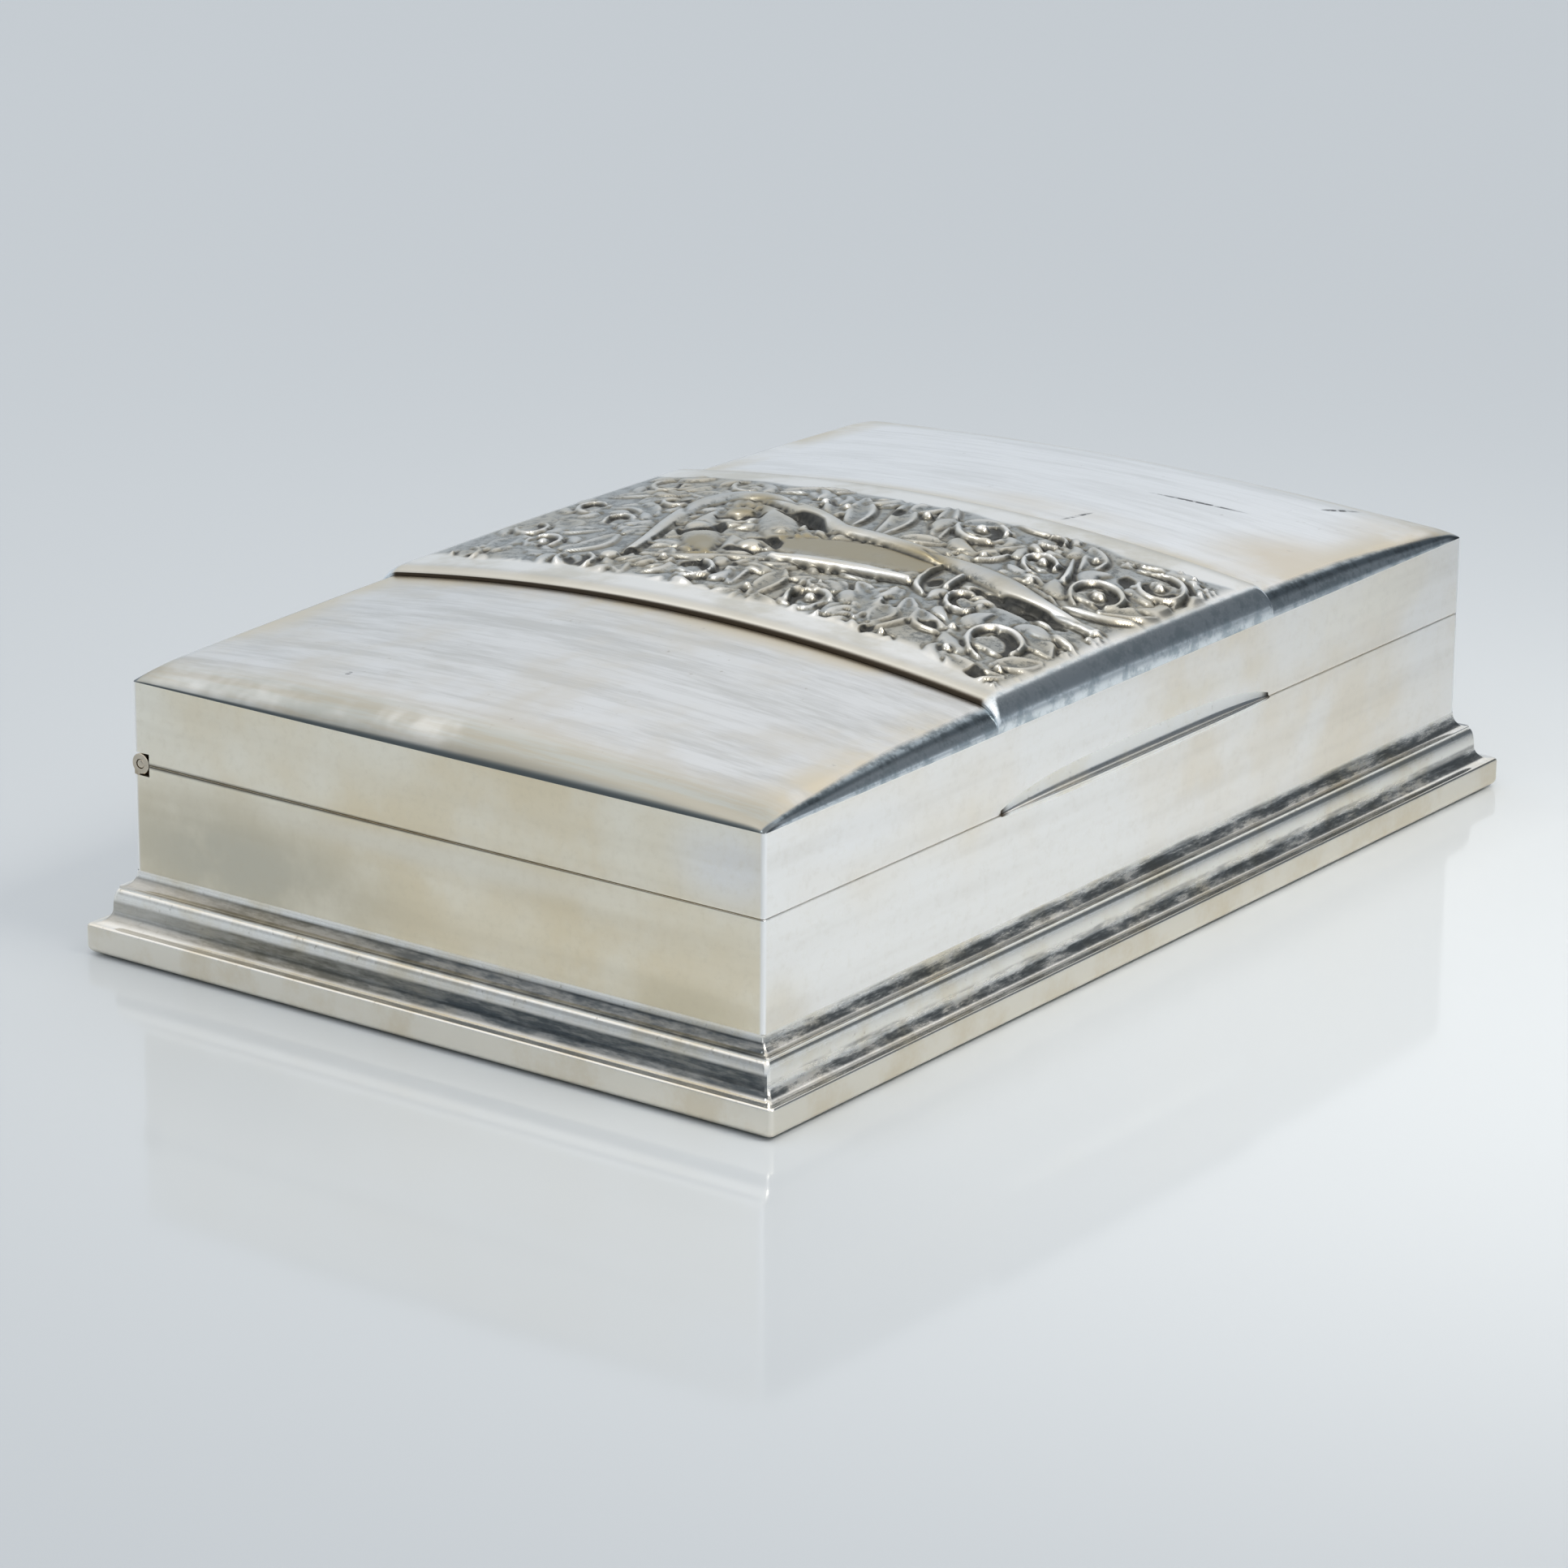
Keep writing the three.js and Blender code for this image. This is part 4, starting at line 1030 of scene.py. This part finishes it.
# small flowers, as (x, y, radius, petals), and bright bosses, as (x, y, radius)
FLOWERS = (
    (-4.6, -46, 1.9, 6), (-11.9, -46, 1.2, 5), (22, -45, 1.5, 5), (-28, -45.8, 1.3, 5), (21.8, -33, 1.2, 5),
)
BOSSES = (
    (-2, 19.4, 2.2), (6.8, 18.8, 2.6), (0.3, 7.4, 1.3), (-7, 7.2, 2.2), (-19.2, 20.8, 1.8),
    (17, 12.2, 1.0), (16, 7.9, 1.0), (19.2, -2.9, 1.0),
    (9.2, -18.9, 1.0), (5.6, -28.6, 1.0), (-16.5, -31.8, 0.9), (-22.9, -35.3, 0.9),
    (-23.6, -43.6, 0.9), (-21.9, -3.6, 0.9), (18.9, -30, 0.9), (-24.4, -26.4, 0.7), (-26, -29.3, 0.7),
    (-27.2, -31.4, 0.65), (-28.3, -33.6, 0.65), (-28.6, -36, 0.6), (-25.4, -47, 0.6), (-23.4, -46.6, 0.55),
    (-16.1, 34.3, 1.0), (-16.9, 13.6, 0.9), (24, -42, 0.6), (24.4, -39.6, 0.55), (18.8, -12, 1.3),
    (13, -25.6, 0.9), (7.8, -37.7, 1.3), (17.2, -41, 1.0), (-14.8, -10, 0.6), (-20.6, -12.6, 1.1),
)


def chase_cartouche(relief):
    """The uneven cartouche in the middle: a panel and a long bar inside a frame that runs to the front."""
    relief.leaf([(-12.5, 10), (-7, 15), (0, 20), (7, 22.5)], 2.6, 0.95, 0.0)
    relief.leaf([(-12.5, 4.5), (-8.5, 8), (-3.5, 12.5)], 2.2, 0.9, 0.0)
    relief.leaf([(-3, 5), (2, 9), (8, 14), (12, 19)], 2.8, 0.9, 0.0)
    relief.ridge([(-2.8, 2), (-1.4, -5), (-0.4, -14)], 4.4, 0.35, 0.8, 0.7, 1.0)
    back = [(-16.5, 19.6), (-9, 21.8), (-1.9, 24.3), (6, 26.4), (12.4, 26.4), (15.6, 23.6), (15, 19)]
    front = [(13.1, 15), (10.6, 9.3), (8.1, 5), (6, 1.4), (5.6, -3.6), (4.9, -9.3), (3.9, -15), (3.4, -19.6)]
    foot = [(2.2, -25), (0.3, -30), (-1.5, -35), (-2.6, -40), (-3.4, -44.4)]
    relief.ridge([(-16.5, 19.6), (-16, 14), (-13, 8), (-10, 1.2)], 0.8, 0.55, 0.9, 0.6)
    relief.ridge(back + front + foot, 1.6, 1.15, 0.5, 0.7)
    relief.leaf([(4.4, -13), (3.4, -20), (1.6, -27), (-0.8, -34), (-3.2, -44)], 2.5, 1.15, 0.0)
    relief.leaf([(3, 25.2), (9.5, 27), (14.8, 25), (15.4, 19), (12.4, 13)], 2.2, 1.15, 0.0)
    bar = [(-10, 1.2), (-9.4, -2.1), (-8.3, -7.4), (-7.2, -13.6), (-6.5, -17.6)]
    relief.ridge(bar, 1.45, 1.3, 0.6, 0.6, 0.3)
    relief.stain([(-2, 3), (-1, -5), (0.4, -14.5)], 5.6)
    relief.stain([(-12, 11.5), (-9, 14)], 3)
    relief.stain([(8, 18.5), (12.5, 20.5)], 4)


def chase():
    """The whole ornament: the cartouche among scrolls, lobes, small flowers and bosses."""
    relief = Relief()
    for line, width in SPOONS:
        relief.spoon(line, width, rng.uniform(0.7, 0.85), 0.3)
    for line, width, height in ARCS:
        relief.ridge(line, width, height)
    for scroll in SCROLLS:
        relief.scroll(*scroll)
    for x, y, radius, petals in FLOWERS:
        relief.rosette(x, y, radius, petals, 0.8)
    relief.fill([np.array(scroll[:2]) for scroll in SCROLLS])
    chase_cartouche(relief)
    for line, width, depth in POCKETS:
        relief.pocket(line, width, depth)
    for x, y, radius in BOSSES:
        relief.boss(x, y, 0.8 * radius, 1.05)
    return relief


def field_mask(X, Y):
    """1 inside the ornament's field, 0 on the border, which is wavy and narrows to the front left corner."""
    front = np.clip((-30 - Y) / 16, 0, 1)
    border = np.where(X < 0, LEFT_BORDER - 3.0 * front, RIGHT_BORDER - 0.6 * front)
    border = border + 0.4 * np.sin(Y / 3.1) + 0.35 * np.sin(Y / 1.7 + 1)
    from_end = HALF_Y - np.abs(Y) - FIELD_END - 0.9
    into = np.clip(np.minimum(BAND_HALF - np.abs(X) - border, from_end) / 1.6, 0, 1)
    return into * into * (3 - 2 * into)


def resample(field, relief, x, y):
    """A field on the relief's grid, read off at other grid lines."""
    rows = np.stack([np.interp(x, relief.x, row) for row in field])
    return np.stack([np.interp(y, relief.y, column) for column in rows.T], 1)


def band_body(upper, foot):
    """Points and faces of the band: a fine upper grid, its sides, and a plainer underside along the dome."""
    rows, columns, _ = upper.shape
    count = rows * columns
    kept = np.unique(np.linspace(0, columns - 1, UNDER_LINES).astype(int))
    under = np.full((rows, columns), -1)
    under[:, kept] = 0
    under[[0, -1]] = 0
    under[under == 0] = count + np.arange((under == 0).sum())
    points = np.concatenate([upper.reshape(-1, 3), foot[under >= 0]])
    faces = grid_faces(rows, columns)
    loop = rim_loop(rows, columns)
    low = under.ravel()
    faces += [(low[a], low[b], b, a) for a, b in zip(loop, loop[1:] + loop[:1])]
    for i in range(rows - 1):
        for a, b in zip(kept, kept[1:]):
            near = [k for k in under[i, a:b + 1] if k >= 0]
            far = [k for k in under[i + 1, a:b + 1] if k >= 0]
            faces.append(tuple(far + near[::-1]))
    return points, [tuple(int(k) for k in face) for face in faces]


def sunk(height, sigma, start, full):
    """Mask of what lies below the blurred surface, from 0 at a depth of start to 1 at a depth of full."""
    return np.clip((blur(height, sigma) - height - start) / (full - start), 0, 1)


def add_band():
    x = edge_lines(BAND_HALF, SHOULDER, steps=9, pitch=BAND_PITCH)
    y = edge_lines(HALF_Y, BAND_END_ROUND, steps=12, pitch=BAND_PITCH)
    X, Y = np.meshgrid(x, y)
    shoulder = BAND_EDGE + (BAND_STAND - BAND_EDGE) * roll(BAND_HALF - np.abs(X), SHOULDER)
    end = BAND_END + (BAND_STAND - BAND_END) * roll(HALF_Y - np.abs(Y), BAND_END_ROUND)
    relief = chase()
    mask = field_mask(*np.meshgrid(relief.x, relief.y))
    worn = 1 - BACK_WEAR * np.clip((relief.y - 5) / 30, 0, 1)
    height = blur(relief.height, 1.2) * mask * worn[:, None]
    # masks of the recesses, coloured with patina and painted shade: the chased lines, the deep hollows and
    # the parts lying low
    lines = sunk(height, 2.6, 0.02, 0.18)
    hollows = sunk(height, 9, 0.25, 0.75)
    crease = blur(np.maximum(np.maximum(lines, hollows), relief.dark), 1.3) * mask
    low = sunk(height, 7, -0.48, 0.12) * mask
    foot = np.stack([X, Y, dome_height(X, Y) + BAND_LIFT], -1)
    raised = np.minimum(shoulder, end) + resample(height, relief, x, y)
    points, faces = band_body(foot + raised[..., None] * (0, 0, 1), foot)
    band = add_piece("chased_band", (points, faces), RELIEF, "lid", "embossed_band",
                     RELIEF_SHARP)
    for name, field in (("crease", crease), ("warm", relief.warm * mask), ("low", low)):
        values = np.zeros(len(points), np.float32)
        values[:X.size] = resample(field, relief, x, y).ravel()
        band.data.attributes.new(name, "FLOAT", "POINT").data.foreach_set("value", values)


add_box()
add_felt()
add_lining()
add_hinge()
add_lid()
add_band()
add_thumbpiece()


# Floor, light and camera

# darker parts of the studio, as (direction, cosine where full, cosine where gone, strength)
DARK_PARTS = (
    ((0.908, -0.296, 0.296), 0.93, 0.89, 0.93),
    ((-0.900, 0.364, 0.242), 0.961, 0.934, 0.6),
)


def add_floor():
    bpy.ops.mesh.primitive_plane_add(size=8)
    floor = bpy.context.object
    floor.name = "floor"
    s = new_material("floor", (0.555, 0.59, 0.62))
    floor.data.materials.append(s.finish(0.08, metallic=0.0, others={"IOR": 1.4}))


def add_world():
    world = bpy.data.worlds.new("studio")
    bpy.context.scene.world = world
    s = Shader(world, (0.6, 0.65, 0.7))
    direction = s.source["Generated"]
    height = s.add("ShaderNodeSeparateXYZ", {0: direction}).outputs["Z"]
    s.paint((0.98, 0.98, 0.98), s.span(height, 0.0, 0.9))
    for axis, full, gone, strength in DARK_PARTS:
        inputs = {0: direction, 1: Vector(axis).normalized()}
        cosine = s.add("ShaderNodeVectorMath", inputs, operation="DOT_PRODUCT").outputs["Value"]
        s.paint((0.06, 0.075, 0.09), s.span(cosine, gone, full, 0.0, strength))
    s.set(s.tree.nodes["Background"].inputs["Color"], s.colour)


def add_softbox(place, target, size, power, colour, spread):
    data = bpy.data.lights.new("softbox", "AREA")
    data.size = size
    data.spread = math.radians(spread)
    data.energy = power
    data.color = colour
    light = bpy.data.objects.new("softbox", data)
    bpy.context.scene.collection.objects.link(light)
    light.location = place
    light.rotation_mode = "QUATERNION"
    light.rotation_quaternion = (Vector(target) - Vector(place)).to_track_quat("-Z", "Y")
    light.visible_camera = False


def add_camera(place, azimuth, elevation, roll_angle, lens):
    """Camera of the photo; azimuth 0 looks along +Y, and elevation is above the horizon."""
    a, e, r = (math.radians(d) for d in (azimuth, elevation, roll_angle))
    turn = Matrix.Rotation(a, 4, "Z") @ Matrix.Rotation(math.pi / 2 - e, 4, "X") @ Matrix.Rotation(r, 4, "Z")
    data = bpy.data.cameras.new("camera")
    data.sensor_width = 36
    data.lens = lens
    data.clip_start = 0.01
    camera = bpy.data.objects.new("camera", data)
    bpy.context.scene.collection.objects.link(camera)
    camera.matrix_world = Matrix.Translation(place) @ turn
    bpy.context.scene.camera = camera


add_floor()
add_world()
add_softbox((-0.08, 0.44, 1.22), (0, 0, 0.03), size=0.35, power=2.0, colour=(1, 1, 1), spread=180)
add_softbox((0.02, -0.36, 0.4), (0.02, -0.09, 0), size=0.2, power=0.17, colour=(1, 0.94, 0.85), spread=50)
add_camera((-0.621665, -0.447771, 0.262808), azimuth=-53.852, elevation=18.164, roll_angle=0.443, lens=139.94)
bpy.context.scene.view_settings.view_transform = "Standard"
